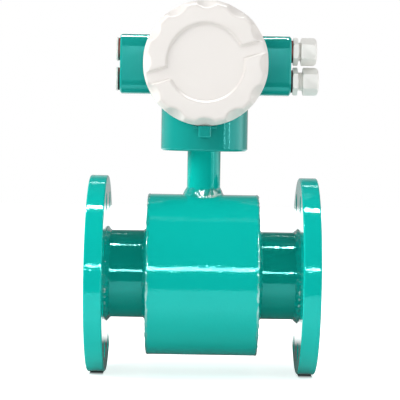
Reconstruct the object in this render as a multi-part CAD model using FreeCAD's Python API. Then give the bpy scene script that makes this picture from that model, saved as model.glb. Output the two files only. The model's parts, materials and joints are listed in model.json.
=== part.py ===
import FreeCAD, Part
import math
import os

# Electromagnetic flow meter with a flanged DN 80 pipe section, a round coil
# shell, a neck and a screw-covered converter head.  Millimetres.
# Origin: centre of the measuring bore.  +X runs along the pipe, +Z up the
# neck, and the blank terminal cover faces -Y.

V = FreeCAD.Vector
X = V(1, 0, 0)
Y = V(0, 1, 0)
Z = V(0, 0, 1)
SIDES = (-1, 1)

# ---------------------------------------------------------------- pipe run
BORE_DIAMETER = 75.0
LINER_WALL = 3.0
TUBE_WALL = 4.0
RIM_TO_RIM = 230.0
FLANGE_THICKNESS = 18.0
FLANGE_EDGE_ROUND = 1.6
RAISED_FACE_HEIGHT = 2.0
LINER_PROUD = 0.5
LINER_FLARE_WIDTH = 17.5
LINER_FLARE_THICKNESS = 3.0
LINER_LIP_ROUND = 2.0
RAISED_FACE_LAND = 7.0
BOLT_HOLE_DIAMETER = 18.0
BOLT_COUNT = 8
BOLT_TO_FACE_LAND = 2.0
BOLT_TO_EDGE_LAND = 11.0
PIPE_WELD_LEG = 5.5
WELD_HOLLOW = 0.55

BORE_R = BORE_DIAMETER / 2
TUBE_INNER_R = BORE_R + LINER_WALL
TUBE_R = TUBE_INNER_R + TUBE_WALL
RIM_X = RIM_TO_RIM / 2
FLANGE_BACK_X = RIM_X - FLANGE_THICKNESS
RAISED_X = RIM_X + RAISED_FACE_HEIGHT
LINER_FACE_X = RAISED_X + LINER_PROUD
LINER_SEAT_X = LINER_FACE_X - LINER_FLARE_THICKNESS
FLARE_R = TUBE_R + LINER_FLARE_WIDTH
RAISED_R = FLARE_R + RAISED_FACE_LAND
BOLT_HOLE_R = BOLT_HOLE_DIAMETER / 2
BOLT_CIRCLE_R = RAISED_R + BOLT_TO_FACE_LAND + BOLT_HOLE_R
FLANGE_R = BOLT_CIRCLE_R + BOLT_HOLE_R + BOLT_TO_EDGE_LAND

# -------------------------------------------------------------- electrodes
ELECTRODE_HEAD_R = 6.0
ELECTRODE_HEAD_THICKNESS = 2.0
ELECTRODE_STEM_R = 3.0
ELECTRODE_END = 2.5
BOSS_R = 11.0
BOSS_HEIGHT = 5.5
BUSH_SLEEVE_R = 6.5
BUSH_FLANGE_R = 9.5
BUSH_FLANGE_THICKNESS = 2.5
DISC_WASHER_R = 6.5
DISC_WASHER_THICKNESS = 1.2
ELECTRODE_NUT_FLATS = 10.0
ELECTRODE_NUT_THICKNESS = 4.0
ELECTRODE_CLEARANCE = 0.1

BOSS_TOP = TUBE_R + BOSS_HEIGHT
BUSH_TOP = BOSS_TOP + BUSH_FLANGE_THICKNESS
WASHER_TOP = BUSH_TOP + DISC_WASHER_THICKNESS
NUT_TOP = WASHER_TOP + ELECTRODE_NUT_THICKNESS
STEM_TOP = NUT_TOP + ELECTRODE_END

# ------------------------------------------------------------------- coils
COIL_GAP = 0.5
COIL_HEIGHT = 13.0
COIL_HALF_LENGTH = 38.0
COIL_HALF_WIDTH = 40.0
COIL_CORNER_R = 15.0
COIL_TURNS_WIDTH = 20.0
CORE_GAP = 0.5
CORE_CORNER_R = 6.0
YOKE_THICKNESS = 2.5
YOKE_HALF_WIDTH = 17.0
YOKE_PORT_CLEARANCE = 2.0
YOKE_SCREW_R = 2.5
YOKE_SCREW_HEAD_R = 4.5
YOKE_SCREW_HEAD = 3.0
YOKE_SCREW_DEPTH = 9.0
YOKE_SCREW_HALF_PITCH = 9.0

COIL_INNER_R = TUBE_R + COIL_GAP
COIL_OUTER_R = COIL_INNER_R + COIL_HEIGHT
YOKE_INNER_R = COIL_OUTER_R + COIL_GAP
YOKE_OUTER_R = YOKE_INNER_R + YOKE_THICKNESS
WINDOW_HALF_LENGTH = COIL_HALF_LENGTH - COIL_TURNS_WIDTH
WINDOW_HALF_WIDTH = COIL_HALF_WIDTH - COIL_TURNS_WIDTH

# ------------------------------------------------------------- outer shell
WIRING_SPACE = 17.75
SHELL_WALL = 3.0
SHELL_LENGTH = 112.0
SHELL_EDGE_ROUND = 2.0
END_PLATE_THICKNESS = 4.0

SHELL_INNER_R = YOKE_OUTER_R + WIRING_SPACE
SHELL_R = SHELL_INNER_R + SHELL_WALL
SHELL_HALF = SHELL_LENGTH / 2

# -------------------------------------------------------------------- neck
NECK_DIAMETER = 33.7
NECK_WALL = 3.2
NECK_HEIGHT = 44.25
NECK_WELD_LEG = 4.5
WELD_GAP = 0.02
NECK_CLEARANCE = 0.15
LOCK_NUT_WALL = 7.5
LOCK_NUT_HEIGHT = 7.0
NECK_END = 2.0

NECK_R = NECK_DIAMETER / 2
NECK_INNER_R = NECK_R - NECK_WALL

# ------------------------------------------------------- converter housing
PEDESTAL_DIAMETER = 88.0
PEDESTAL_WALL = 4.0
PEDESTAL_FLOOR = 5.0
PEDESTAL_EDGE_ROUND = 2.5
PEDESTAL_TO_AXIS = 87.0
THREAD_R = 54.0
THREAD_RELIEF = 1.5
THREAD_LENGTH = 14.0
DRUM_WALL = 3.0
DRUM_LENGTH = 92.0
COLLAR_WALL = 8.0
COLLAR_WIDTH = 12.0
COLLAR_EDGE_CHAMFER = 0.8
PARTITION_FRONT_Y = 8.0
PARTITION_THICKNESS = 3.0
ARM_REACH = 86.0
ARM_HEIGHT = 60.0
ARM_WALL = 4.0
ARM_END_WALL = 6.0
ARM_CHANNEL_DEPTH = 28.0
ARM_CORNER_R = 13.0
ARM_END_CHAMFER = 1.6
CAST_FILLET = 3.0
ENTRY_SPACING = 30.0
ENTRY_R = 10.0
WIRE_HOLE_R = 8.0
RIBBON_HOLE_R = 6.0
RIBBON_HOLE_DROP = 40.0

DRUM_R = THREAD_R + DRUM_WALL
COLLAR_R = THREAD_R + COLLAR_WALL
CAVITY_R = THREAD_R - THREAD_RELIEF
MOUTH_Y = DRUM_LENGTH / 2
PARTITION_REAR_Y = PARTITION_FRONT_Y + PARTITION_THICKNESS
ARM_DEPTH = ARM_CHANNEL_DEPTH + 2 * ARM_WALL
ARM_Y = PARTITION_FRONT_Y - ARM_CHANNEL_DEPTH / 2
PEDESTAL_R = PEDESTAL_DIAMETER / 2
PEDESTAL_Z = SHELL_R + NECK_HEIGHT
FLOOR_TOP_Z = PEDESTAL_Z + PEDESTAL_FLOOR
HEAD_Z = PEDESTAL_Z + PEDESTAL_TO_AXIS
LOCK_NUT_TOP_Z = FLOOR_TOP_Z + LOCK_NUT_HEIGHT
NECK_TOP_Z = LOCK_NUT_TOP_Z + NECK_END
WIRE_HOLE_Y = ARM_Y - ARM_CHANNEL_DEPTH / 2 + WIRE_HOLE_R

# ---------------------------------------------------------------- lock lug
LUG_WIDTH = 12.5
LUG_DROP = 8.6
LUG_OUT = 11.0
LUG_CORNER_R = 2.0
PAD_WIDTH = 23.0
PAD_THICKNESS = 2.7
PAD_OUT = 7.0
PAD_CORNER_R = 1.0
LOCK_SCREW_R = 2.1
LOCK_SCREW_CLEARANCE = 0.1
LOCK_SCREW_LENGTH = 9.0
LOCK_SCREW_SOCKET_FLATS = 2.5
LOCK_SCREW_SOCKET_DEPTH = 2.5
LOCK_SCREW_GAP = 0.4

LUG_TOP_Z = HEAD_Z - COLLAR_R

# ------------------------------------------------------------ screw covers
COVER_STEP = 0.5
COVER_SEAT_GAP = 0.2
COVER_RIM_HEIGHT = 4.0
COVER_HEIGHT = 18.0
COVER_FACE_INSET = 3.0
COVER_FACE_ROUND = 2.0
COVER_PLUG_LENGTH = 12.0
COVER_PLUG_CLEARANCE = 0.3
COVER_PLUG_WALL = 4.7
COVER_ROOF = 2.5
COVER_FACE_BAND = 19.5
COVER_RECESS_DEPTH = 3.5
COVER_RECESS_DRAFT = 1.5
SCOOP_COUNT = 12
SCOOP_R = 17.0
SCOOP_DEPTH = 3.0
SCOOP_RUN = 13.0
COVER_SLOT_WIDTH = 11.5
COVER_SLOT_ANGLE = 16.5
ORING_SECTION_R = 1.1
ORING_CLEARANCE = 0.25
ORING_LAND = 3.4

COVER_R = COLLAR_R - COVER_STEP
COVER_FACE_R = COVER_R - COVER_FACE_INSET
COVER_RECESS_R = COVER_FACE_R - COVER_FACE_BAND
COVER_PLUG_R = THREAD_R - COVER_PLUG_CLEARANCE
COVER_BORE_R = COVER_PLUG_R - COVER_PLUG_WALL
ORING_R = COVER_R - ORING_LAND - ORING_SECTION_R

# ------------------------------------------------------------ window cover
WINDOW_BEVEL = 2.0
GLASS_CLEARANCE = 0.5
GLASS_LAND = 8.5
GLASS_THICKNESS = 6.0
GASKET_THICKNESS = 1.0
WINDOW_RIM_THICKNESS = 6.0
RETAINER_THICKNESS = 3.0
RETAINER_CLEARANCE = 0.15
RETAINER_NOTCH_WIDTH = 4.0
RETAINER_NOTCH_DEPTH = 1.5

GLASS_R = COVER_BORE_R - GLASS_CLEARANCE
WINDOW_R = GLASS_R - GLASS_LAND
GLASS_SEAT = COVER_HEIGHT - WINDOW_RIM_THICKNESS
GLASS_TOP = GLASS_SEAT - GASKET_THICKNESS

# ------------------------------------------------- glands, plugs, washers
GLAND_FLATS = 24.5
ENTRY_CLEARANCE = 0.1
WASHER_R = 11.3
WASHER_THICKNESS = 2.2
GLAND_HEX_THICKNESS = 5.0
GLAND_CHAMFER = 0.8
SPIGOT_LENGTH = 10.0
GLAND_NECK_R = 9.6
GLAND_NECK_LENGTH = 9.0
CLAW_R = 8.8
CLAW_LENGTH = 4.0
CLAW_COUNT = 8
CLAW_SLIT = 1.0
GLAND_BORE_R = 6.7
SEAL_CLEARANCE = 0.3
SEAL_BORE_R = 4.5
SEAL_LENGTH = 8.0
NUT_LENGTH = 16.0
NUT_THREAD_CLEARANCE = 0.3
NUT_THREAD_DEPTH = 11.0
NUT_MOUTH_R = 6.5
NUT_MOUTH_LENGTH = 1.7
NUT_DOME_ROUND = 4.5
UPPER_NUT_GAP = 3.0
LOWER_NUT_GAP = 5.2
PLUG_HEAD_R = 12.0
PLUG_HEAD_THICKNESS = 2.6
PLUG_EDGE_CHAMFER = 0.8
PLUG_SLOT_WIDTH = 2.4
PLUG_SLOT_DEPTH = 1.2
PLUG_SLOT_LENGTH = 16.0

ENTRY_HALF_PITCH = ENTRY_SPACING / 2
SPIGOT_R = ENTRY_R - ENTRY_CLEARANCE
GLAND_FACE_X = ARM_REACH + WASHER_THICKNESS
GLAND_NECK_X = GLAND_FACE_X + GLAND_HEX_THICKNESS
GLAND_CLAW_X = GLAND_NECK_X + GLAND_NECK_LENGTH

# ------------------------------------------------------ terminal equipment
BOARD_THICKNESS = 1.6
TERMINAL_POST_LENGTH = 8.0
POST_R = 3.0
TERMINAL_BOARD_GAP = 2.0
TERMINAL_BOARD_HEIGHT = 56.0
TERMINAL_POST_INSET = 5.0
STRIP_LENGTH = 68.0
STRIP_DEPTH = 12.0
STRIP_HEIGHT = 13.0
STRIP_OFFSET = 13.0
POLE_COUNT = 8
POLE_PORT_WIDTH = 4.6
POLE_PORT_HEIGHT = 4.0
POLE_PORT_DEPTH = 5.0
POLE_SCREW_R = 2.2
POLE_SCREW_HEIGHT = 1.2
BOARD_SCREW_R = 2.8
BOARD_SCREW_HEIGHT = 2.0

TERMINAL_FACE_Y = PARTITION_FRONT_Y - TERMINAL_POST_LENGTH - BOARD_THICKNESS
TERMINAL_BOARD_LENGTH = 2 * math.sqrt((CAVITY_R - TERMINAL_BOARD_GAP) ** 2 - (TERMINAL_BOARD_HEIGHT / 2) ** 2)

# ---------------------------------------------------- converter electronics
BOARD_RADIAL_GAP = 0.9
MAIN_POST_LENGTH = 6.0
POST_INSET = 5.7
DISPLAY_POST_LENGTH = 14.4
TRANSFORMER_SIZE = V(26.0, 12.5, 22.0)
TRANSFORMER_OFFSET = -13.0
CAPACITOR_R = 5.0
CAPACITOR_HEIGHT = 12.0
CAPACITOR_OFFSET = 12.0
CAPACITOR_PITCH = 14.0
LCD_SIZE = V(62.0, 3.9, 35.0)
LCD_TO_POST = 3.5
LCD_GLASS_INSET = 3.0
PANEL_GAP = 0.3
PANEL_THICKNESS = 2.0
PANEL_SKIRT = 1.8
KEY_COUNT = 4
KEY_TO_POST = 7.5
KEY_DROP = 24.0
KEY_R = 3.5
KEY_FLANGE = 1.1
KEY_FLANGE_THICKNESS = 1.0
KEY_CLEARANCE = 0.3
KEY_PROUD = 2.0
KEY_TRAVEL = 0.8
SWITCH_SIZE = 6.0
SWITCH_HEIGHT = 1.6

BOARD_R = COVER_BORE_R - BOARD_RADIAL_GAP
POST_OFFSET = (BOARD_R - POST_INSET) / math.sqrt(2)
KEY_PITCH = 2 * (POST_OFFSET - KEY_TO_POST) / (KEY_COUNT - 1)
LCD_RAISE = POST_OFFSET - LCD_TO_POST - LCD_SIZE.z / 2
MAIN_BOARD_Y = PARTITION_REAR_Y + MAIN_POST_LENGTH
MAIN_FACE_Y = MAIN_BOARD_Y + BOARD_THICKNESS
DISPLAY_BOARD_Y = MAIN_FACE_Y + DISPLAY_POST_LENGTH
DISPLAY_FACE_Y = DISPLAY_BOARD_Y + BOARD_THICKNESS
PANEL_Y = DISPLAY_FACE_Y + LCD_SIZE.y + PANEL_GAP
PANEL_FACE_Y = PANEL_Y + PANEL_THICKNESS
SWITCH_TOP_Y = DISPLAY_FACE_Y + SWITCH_HEIGHT

# ------------------------------------------------------------ earth screw
EARTH_BOSS_R = 7.0
EARTH_BOSS_OUT = 3.0
EARTH_Z_RAISE = 14.0
EARTH_THREAD_R = 2.9
EARTH_THREAD_LENGTH = 6.0
EARTH_HEAD_FLATS = 8.0
EARTH_HEAD_HEIGHT = 4.0
EARTH_WASHER_R = 5.8
EARTH_WASHER_THICKNESS = 1.2


# ----------------------------------------------------------------- helpers
def rod(radius, start, length, axis):
    """Solid cylinder that begins at a point and runs along an axis."""
    return Part.makeCylinder(radius, length, start, axis)


def sleeve(outer_r, inner_r, start, length, axis):
    """Plain tube along an axis."""
    return rod(outer_r, start, length, axis).cut(rod(inner_r, start, length, axis))


def placed(shape, base, axis):
    """Move a shape built along +Z so that it starts at base and points along axis."""
    moved = shape.copy()
    moved.Placement = FreeCAD.Placement(base, FreeCAD.Rotation(Z, axis))
    return moved


def turned(outline):
    """Solid of revolution about Z from (radius, height) corners."""
    corners = [V(radius, 0, height) for radius, height in outline]
    wire = Part.makePolygon(corners + [corners[0]])
    return Part.Face(wire).revolve(V(0, 0, 0), Z, 360)


def centred_box(centre, size):
    """Box about a centre point."""
    corner = centre - size * 0.5
    return Part.makeBox(size.x, size.y, size.z, corner)


def rounded_prism(half_a, half_b, corner_r, height):
    """Prism along +Z with a rounded rectangular section."""
    block = Part.makeBox(2 * half_a, 2 * half_b, height, V(-half_a, -half_b, 0))
    uprights = [e for e in block.Edges if abs(e.tangentAt(e.FirstParameter).z) > 0.99]
    return block.makeFillet(corner_r, uprights)


def hex_prism(flats, height):
    """Hexagonal prism along +Z with two corners on the X axis."""
    corner_r = flats / math.sqrt(3)
    angles = [math.radians(60 * i) for i in range(7)]
    corners = [V(corner_r * math.cos(a), corner_r * math.sin(a), 0) for a in angles]
    return Part.Face(Part.makePolygon(corners)).extrude(Z * height)


def joined(shapes):
    """One solid from shapes that meet."""
    first, *rest = shapes
    return first.fuse(rest).removeSplitter()


def group(shapes):
    """Separate solids that share one file."""
    return Part.makeCompound(shapes)


def round_edges_at(shape, radius, level, axis):
    """Round the circular edges that lie in the plane at a level along an axis."""
    edges = [e for e in shape.Edges if e.Curve.TypeId == "Part::GeomCircle"
             and all(abs(v.Point.dot(axis) - level) < 1e-4 for v in e.Vertexes)
             and abs(abs(e.Curve.Axis.dot(axis)) - 1) < 1e-6]
    largest = max(e.Curve.Radius for e in edges)
    rims = [e for e in edges if abs(e.Curve.Radius - largest) < 1e-4]
    return shape.makeFillet(radius, rims)


# ---------------------------------------------------------------- pipe run
def make_measuring_tube():
    """Tube that carries the liner, with a welded boss for each electrode."""
    start = X * -LINER_SEAT_X
    length = 2 * LINER_SEAT_X
    tube = rod(TUBE_R, start, length, X)
    for side in SIDES:
        tube = tube.fuse(rod(BOSS_R, V(0, 0, 0), BOSS_TOP, Y * side))
    tube = tube.cut(rod(TUBE_INNER_R, start, length, X))
    port_r = BUSH_SLEEVE_R + ELECTRODE_CLEARANCE
    return tube.cut(rod(port_r, Y * -BOSS_TOP, 2 * BOSS_TOP, Y))


def make_liner():
    """Liner sleeve, flared over both flange faces, with pockets for the electrodes."""
    liner = rod(TUBE_INNER_R, X * -LINER_FACE_X, 2 * LINER_FACE_X, X)
    for side in SIDES:
        liner = liner.fuse(rod(FLARE_R, X * side * LINER_SEAT_X, LINER_FLARE_THICKNESS, X * side))
    liner = liner.cut(rod(BORE_R, X * -LINER_FACE_X, 2 * LINER_FACE_X, X)).removeSplitter()
    lips = [e for e in liner.Edges if e.Curve.TypeId == "Part::GeomCircle"
            and abs(e.Curve.Radius - BORE_R) < 1e-4]
    liner = liner.makeFillet(LINER_LIP_ROUND, lips)
    head_r = ELECTRODE_HEAD_R + ELECTRODE_CLEARANCE
    stem_r = ELECTRODE_STEM_R + ELECTRODE_CLEARANCE
    pocket_top = BORE_R + ELECTRODE_HEAD_THICKNESS + ELECTRODE_CLEARANCE
    for side in SIDES:
        liner = liner.cut(rod(head_r, V(0, 0, 0), pocket_top, Y * side))
        liner = liner.cut(rod(stem_r, V(0, 0, 0), TUBE_R, Y * side))
    return liner


def make_flange(side):
    """Welded flange with a raised face, a seat for the liner flare and bolt holes."""
    out = X * side
    disc = rod(FLANGE_R, out * FLANGE_BACK_X, FLANGE_THICKNESS, out)
    for level in (FLANGE_BACK_X, RIM_X):
        disc = round_edges_at(disc, FLANGE_EDGE_ROUND, level, out)
    flange = disc.fuse(rod(RAISED_R, out * RIM_X, RAISED_FACE_HEIGHT, out)).removeSplitter()
    flange = flange.cut(rod(TUBE_R, out * FLANGE_BACK_X, FLANGE_THICKNESS, out))
    flange = flange.cut(rod(FLARE_R, out * LINER_SEAT_X, LINER_FLARE_THICKNESS, out))
    for i in range(BOLT_COUNT):
        angle = math.radians((i + 0.5) * 360 / BOLT_COUNT)
        centre = V(0, math.cos(angle), math.sin(angle)) * BOLT_CIRCLE_R
        flange = flange.cut(rod(BOLT_HOLE_R, centre + out * FLANGE_BACK_X, FLANGE_THICKNESS, out))
    return flange


def weld_ring(inner_r, leg, base, axis):
    """Slightly hollow fillet weld round a pipe, standing on a flat face."""
    foot = V(inner_r + leg, 0, 0)
    top = V(inner_r, 0, leg)
    root = V(inner_r, 0, 0)
    middle = (foot + top) * 0.5 - V(WELD_HOLLOW, 0, WELD_HOLLOW)
    edges = [Part.LineSegment(root, foot).toShape(), Part.Arc(foot, middle, top).toShape(),
             Part.LineSegment(top, root).toShape()]
    ring = Part.Face(Part.Wire(edges)).revolve(V(0, 0, 0), Z, 360)
    return placed(ring, base, axis)


def make_neck_weld():
    """Fillet weld that follows the saddle where the neck meets the shell."""
    shell = rod(SHELL_R, X * -SHELL_HALF, SHELL_LENGTH, X)
    neck = rod(NECK_R, V(0, 0, 0), PEDESTAL_Z, Z)
    both = shell.fuse(neck)
    saddle = [e for e in both.Edges if e.BoundBox.YLength > NECK_R / 2
              and e.BoundBox.ZMin > 0 and e.BoundBox.ZMax < PEDESTAL_Z - NECK_WELD_LEG]
    clear_neck = rod(NECK_R + WELD_GAP, V(0, 0, 0), PEDESTAL_Z, Z)
    return both.makeFillet(NECK_WELD_LEG, saddle).cut([shell, clear_neck])


def make_weld_beads():
    """Fillet welds at the flanges, at the shell's end plates and at the neck."""
    beads = [make_neck_weld()]
    for side in SIDES:
        beads.append(weld_ring(TUBE_R, PIPE_WELD_LEG, X * side * FLANGE_BACK_X, X * -side))
        beads.append(weld_ring(TUBE_R, PIPE_WELD_LEG, X * side * SHELL_HALF, X * side))
    return group(beads)


# -------------------------------------------------------------- electrodes
def make_electrode(side):
    """Electrode with its head flush in the bore and a threaded stem."""
    head = rod(ELECTRODE_HEAD_R, V(0, 0, 0), BORE_R + ELECTRODE_HEAD_THICKNESS, Y * side)
    stem = rod(ELECTRODE_STEM_R, V(0, 0, 0), STEM_TOP, Y * side)
    bore = rod(BORE_R, X * -BOSS_R, 2 * BOSS_R, X)
    return joined([head, stem]).cut(bore)


def make_electrode_bushes():
    """Insulating bushes, one in each electrode boss."""
    hole_r = ELECTRODE_STEM_R + ELECTRODE_CLEARANCE
    outline = [(hole_r, TUBE_R), (BUSH_SLEEVE_R, TUBE_R), (BUSH_SLEEVE_R, BOSS_TOP),
               (BUSH_FLANGE_R, BOSS_TOP), (BUSH_FLANGE_R, BUSH_TOP), (hole_r, BUSH_TOP)]
    return group([placed(turned(outline), V(0, 0, 0), Y * side) for side in SIDES])


def make_electrode_washers():
    """Conical spring washers under the electrode nuts."""
    hole_r = ELECTRODE_STEM_R + ELECTRODE_CLEARANCE
    return group([sleeve(DISC_WASHER_R, hole_r, Y * side * BUSH_TOP, DISC_WASHER_THICKNESS, Y * side)
                  for side in SIDES])


def make_electrode_nuts():
    """Hexagon nuts that pull the electrodes outwards."""
    nut = hex_prism(ELECTRODE_NUT_FLATS, ELECTRODE_NUT_THICKNESS)
    nut = nut.cut(rod(ELECTRODE_STEM_R + ELECTRODE_CLEARANCE, V(0, 0, 0), ELECTRODE_NUT_THICKNESS, Z))
    return group([placed(nut, Y * side * WASHER_TOP, Y * side) for side in SIDES])


# ------------------------------------------------------------------- coils
def saddle_block(half_length, half_width, corner_r, inner_r, outer_r, side):
    """Rounded rectangle seen from above, curved round the pipe between two radii."""
    prism = placed(rounded_prism(half_length, half_width, corner_r, outer_r), V(0, 0, 0), Z * side)
    band = sleeve(outer_r, inner_r, X * -half_length, 2 * half_length, X)
    return prism.common(band)


def make_coil(side):
    """Saddle coil: a flat winding bent to lie on the measuring tube."""
    winding = saddle_block(COIL_HALF_LENGTH, COIL_HALF_WIDTH, COIL_CORNER_R,
                           COIL_INNER_R, COIL_OUTER_R, side)
    window_r = CORE_CORNER_R + CORE_GAP
    window = rounded_prism(WINDOW_HALF_LENGTH, WINDOW_HALF_WIDTH, window_r, COIL_OUTER_R)
    return winding.cut(placed(window, V(0, 0, 0), Z * side))


def make_pole_core(side):
    """Steel core in the coil's window, between the tube and the yoke."""
    core = saddle_block(WINDOW_HALF_LENGTH - CORE_GAP, WINDOW_HALF_WIDTH - CORE_GAP,
                        CORE_CORNER_R, TUBE_R, YOKE_INNER_R, side)
    return core.cut(yoke_screws(side, 0))


def yoke_screws(side, head_height):
    """Screws through the yoke into a pole core; no heads when head_height is 0."""
    shapes = []
    for offset in SIDES:
        foot = V(offset * YOKE_SCREW_HALF_PITCH, 0, side * (YOKE_INNER_R - YOKE_SCREW_DEPTH))
        length = YOKE_SCREW_DEPTH + YOKE_THICKNESS
        screw = rod(YOKE_SCREW_R, foot, length, Z * side)
        if head_height:
            seat = foot + Z * side * length
            screw = joined([screw, rod(YOKE_SCREW_HEAD_R, seat, head_height, Z * side)])
        shapes.append(screw)
    return group(shapes)


def make_yoke_ring():
    """Magnetic return band round both coils, with a port over each electrode."""
    ring = sleeve(YOKE_OUTER_R, YOKE_INNER_R, X * -YOKE_HALF_WIDTH, 2 * YOKE_HALF_WIDTH, X)
    port_r = BOSS_R + YOKE_PORT_CLEARANCE
    ring = ring.cut(rod(port_r, Y * -YOKE_OUTER_R, 2 * YOKE_OUTER_R, Y))
    for side in SIDES:
        ring = ring.cut(yoke_screws(side, 0))
    return ring


def make_yoke_screws():
    """Four cap screws that clamp the yoke to the cores."""
    return group([s for side in SIDES for s in yoke_screws(side, YOKE_SCREW_HEAD).Solids])


# ------------------------------------------------------------- outer shell
def make_outer_shell():
    """Rolled shell round the coils, with a port under the neck."""
    shell = rod(SHELL_R, X * -SHELL_HALF, SHELL_LENGTH, X)
    for level in (-SHELL_HALF, SHELL_HALF):
        shell = round_edges_at(shell, SHELL_EDGE_ROUND, level, X)
    shell = shell.cut(rod(SHELL_INNER_R, X * -SHELL_HALF, SHELL_LENGTH, X))
    return shell.cut(rod(NECK_INNER_R, V(0, 0, 0), PEDESTAL_Z, Z))


def make_end_plate(side):
    """Ring plate that closes one end of the shell."""
    start = X * side * (SHELL_HALF - END_PLATE_THICKNESS)
    return sleeve(SHELL_INNER_R, TUBE_R, start, END_PLATE_THICKNESS, X * side)


def make_neck_tube():
    """Neck pipe, saddle-cut to the shell and threaded into the pedestal's floor."""
    neck = sleeve(NECK_R, NECK_INNER_R, V(0, 0, 0), NECK_TOP_Z, Z)
    return neck.cut(rod(SHELL_R, X * -SHELL_HALF, SHELL_LENGTH, X))


def make_neck_lock_nut():
    """Hexagon nut that clamps the pedestal's floor on the neck."""
    nut = hex_prism(2 * (NECK_R + LOCK_NUT_WALL), LOCK_NUT_HEIGHT)
    nut = nut.cut(rod(NECK_R + NECK_CLEARANCE, V(0, 0, 0), LOCK_NUT_HEIGHT, Z))
    return placed(nut, Z * FLOOR_TOP_Z, Z)


# ------------------------------------------------------- converter housing
def arm_bar(depth, height, corner_r, reach):
    """Rounded bar through both arms, centred on the cable entries."""
    bar = rounded_prism(height / 2, depth / 2, corner_r, 2 * reach)
    return placed(bar, V(-reach, ARM_Y, HEAD_Z), X)


def make_arms():
    """Both arms as one bar with chamfered ends."""
    bar = arm_bar(ARM_DEPTH, ARM_HEIGHT, ARM_CORNER_R, ARM_REACH)
    ends = [e for e in bar.Edges
            if all(abs(abs(v.X) - ARM_REACH) < 1e-4 for v in e.Vertexes)]
    return bar.makeChamfer(ARM_END_CHAMFER, ends)


def make_lug():
    """Boss for the cover's lock screw, hanging from a thin pad under the collar."""
    depth = PEDESTAL_R + LUG_OUT
    height = LUG_DROP + PAD_THICKNESS
    bottom = LUG_TOP_Z - height
    lug = Part.makeBox(LUG_WIDTH, depth, height, V(-LUG_WIDTH / 2, -depth, bottom))
    lug = lug.makeFillet(LUG_CORNER_R, [e for e in lug.Edges if e.BoundBox.YMin < -PEDESTAL_R
                                        and e.BoundBox.ZMin < bottom + LUG_CORNER_R])
    pad_depth = PEDESTAL_R + PAD_OUT
    pad = Part.makeBox(PAD_WIDTH, pad_depth, PAD_THICKNESS,
                       V(-PAD_WIDTH / 2, -pad_depth, LUG_TOP_Z - PAD_THICKNESS))
    pad = pad.makeFillet(PAD_CORNER_R, [e for e in pad.Edges if e.BoundBox.YMax < -PEDESTAL_R])
    inner = rod(PEDESTAL_R - PEDESTAL_WALL / 2, Z * PEDESTAL_Z, PEDESTAL_TO_AXIS, Z)
    return lug.fuse(pad).removeSplitter().cut(inner)


def lock_screw_point():
    """Top of the lock screw, just under the cover's rim."""
    y = -MOUTH_Y - COVER_SEAT_GAP - COVER_RIM_HEIGHT / 2
    return V(0, y, LUG_TOP_Z - LOCK_SCREW_GAP)


def earth_point():
    """Centre of the earth boss's face on the back of the pedestal."""
    return V(0, PEDESTAL_R + EARTH_BOSS_OUT, PEDESTAL_Z + EARTH_Z_RAISE)


def make_collar(side):
    """Thickened ring round one mouth of the drum, with chamfered edges."""
    chamfer = COLLAR_EDGE_CHAMFER
    ring = turned([(0, 0), (COLLAR_R - chamfer, 0), (COLLAR_R, chamfer),
                   (COLLAR_R, COLLAR_WIDTH - chamfer), (COLLAR_R - chamfer, COLLAR_WIDTH),
                   (0, COLLAR_WIDTH)])
    return placed(ring, V(0, side * (MOUTH_Y - COLLAR_WIDTH), HEAD_Z), Y * side)


def lies_on_drum(edge):
    """True for a whole edge on the drum's round surface, such as the foot of an arm."""
    span = edge.LastParameter - edge.FirstParameter
    points = [edge.valueAt(edge.FirstParameter + span * share) for share in (0, 0.35, 0.65, 1)]
    return all(abs(math.hypot(p.x, p.z - HEAD_Z) - DRUM_R) < 1e-2 and abs(p.y) < MOUTH_Y - 1e-2
               for p in points)


def cast_on_drum(limb):
    """The drum with a limb, and a cast fillet round the limb's foot."""
    drum = rod(DRUM_R, V(0, -MOUTH_Y, HEAD_Z), DRUM_LENGTH, Y)
    form = joined([drum, limb])
    return form.makeFillet(CAST_FILLET, [e for e in form.Edges if lies_on_drum(e)])


def make_housing_outside():
    """Everything that the casting fills before it is hollowed."""
    pedestal = rod(PEDESTAL_R, Z * PEDESTAL_Z, PEDESTAL_TO_AXIS, Z)
    pedestal = round_edges_at(pedestal, PEDESTAL_EDGE_ROUND, PEDESTAL_Z, Z)
    core = joined([cast_on_drum(make_arms()), cast_on_drum(pedestal)])
    boss = rod(EARTH_BOSS_R, V(0, PEDESTAL_R - PEDESTAL_WALL, earth_point().z),
               PEDESTAL_WALL + EARTH_BOSS_OUT, Y)
    return core.fuse([make_collar(-1), make_collar(1), make_lug(), boss])


def make_pedestal_cavity():
    """Hollow of the pedestal, between its floor and the drum."""
    height = PEDESTAL_TO_AXIS - PEDESTAL_FLOOR
    cavity = rod(PEDESTAL_R - PEDESTAL_WALL, Z * FLOOR_TOP_Z, height, Z)
    drum = rod(COLLAR_R, V(0, -MOUTH_Y, HEAD_Z), DRUM_LENGTH, Y)
    return cavity.cut(drum)


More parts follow.
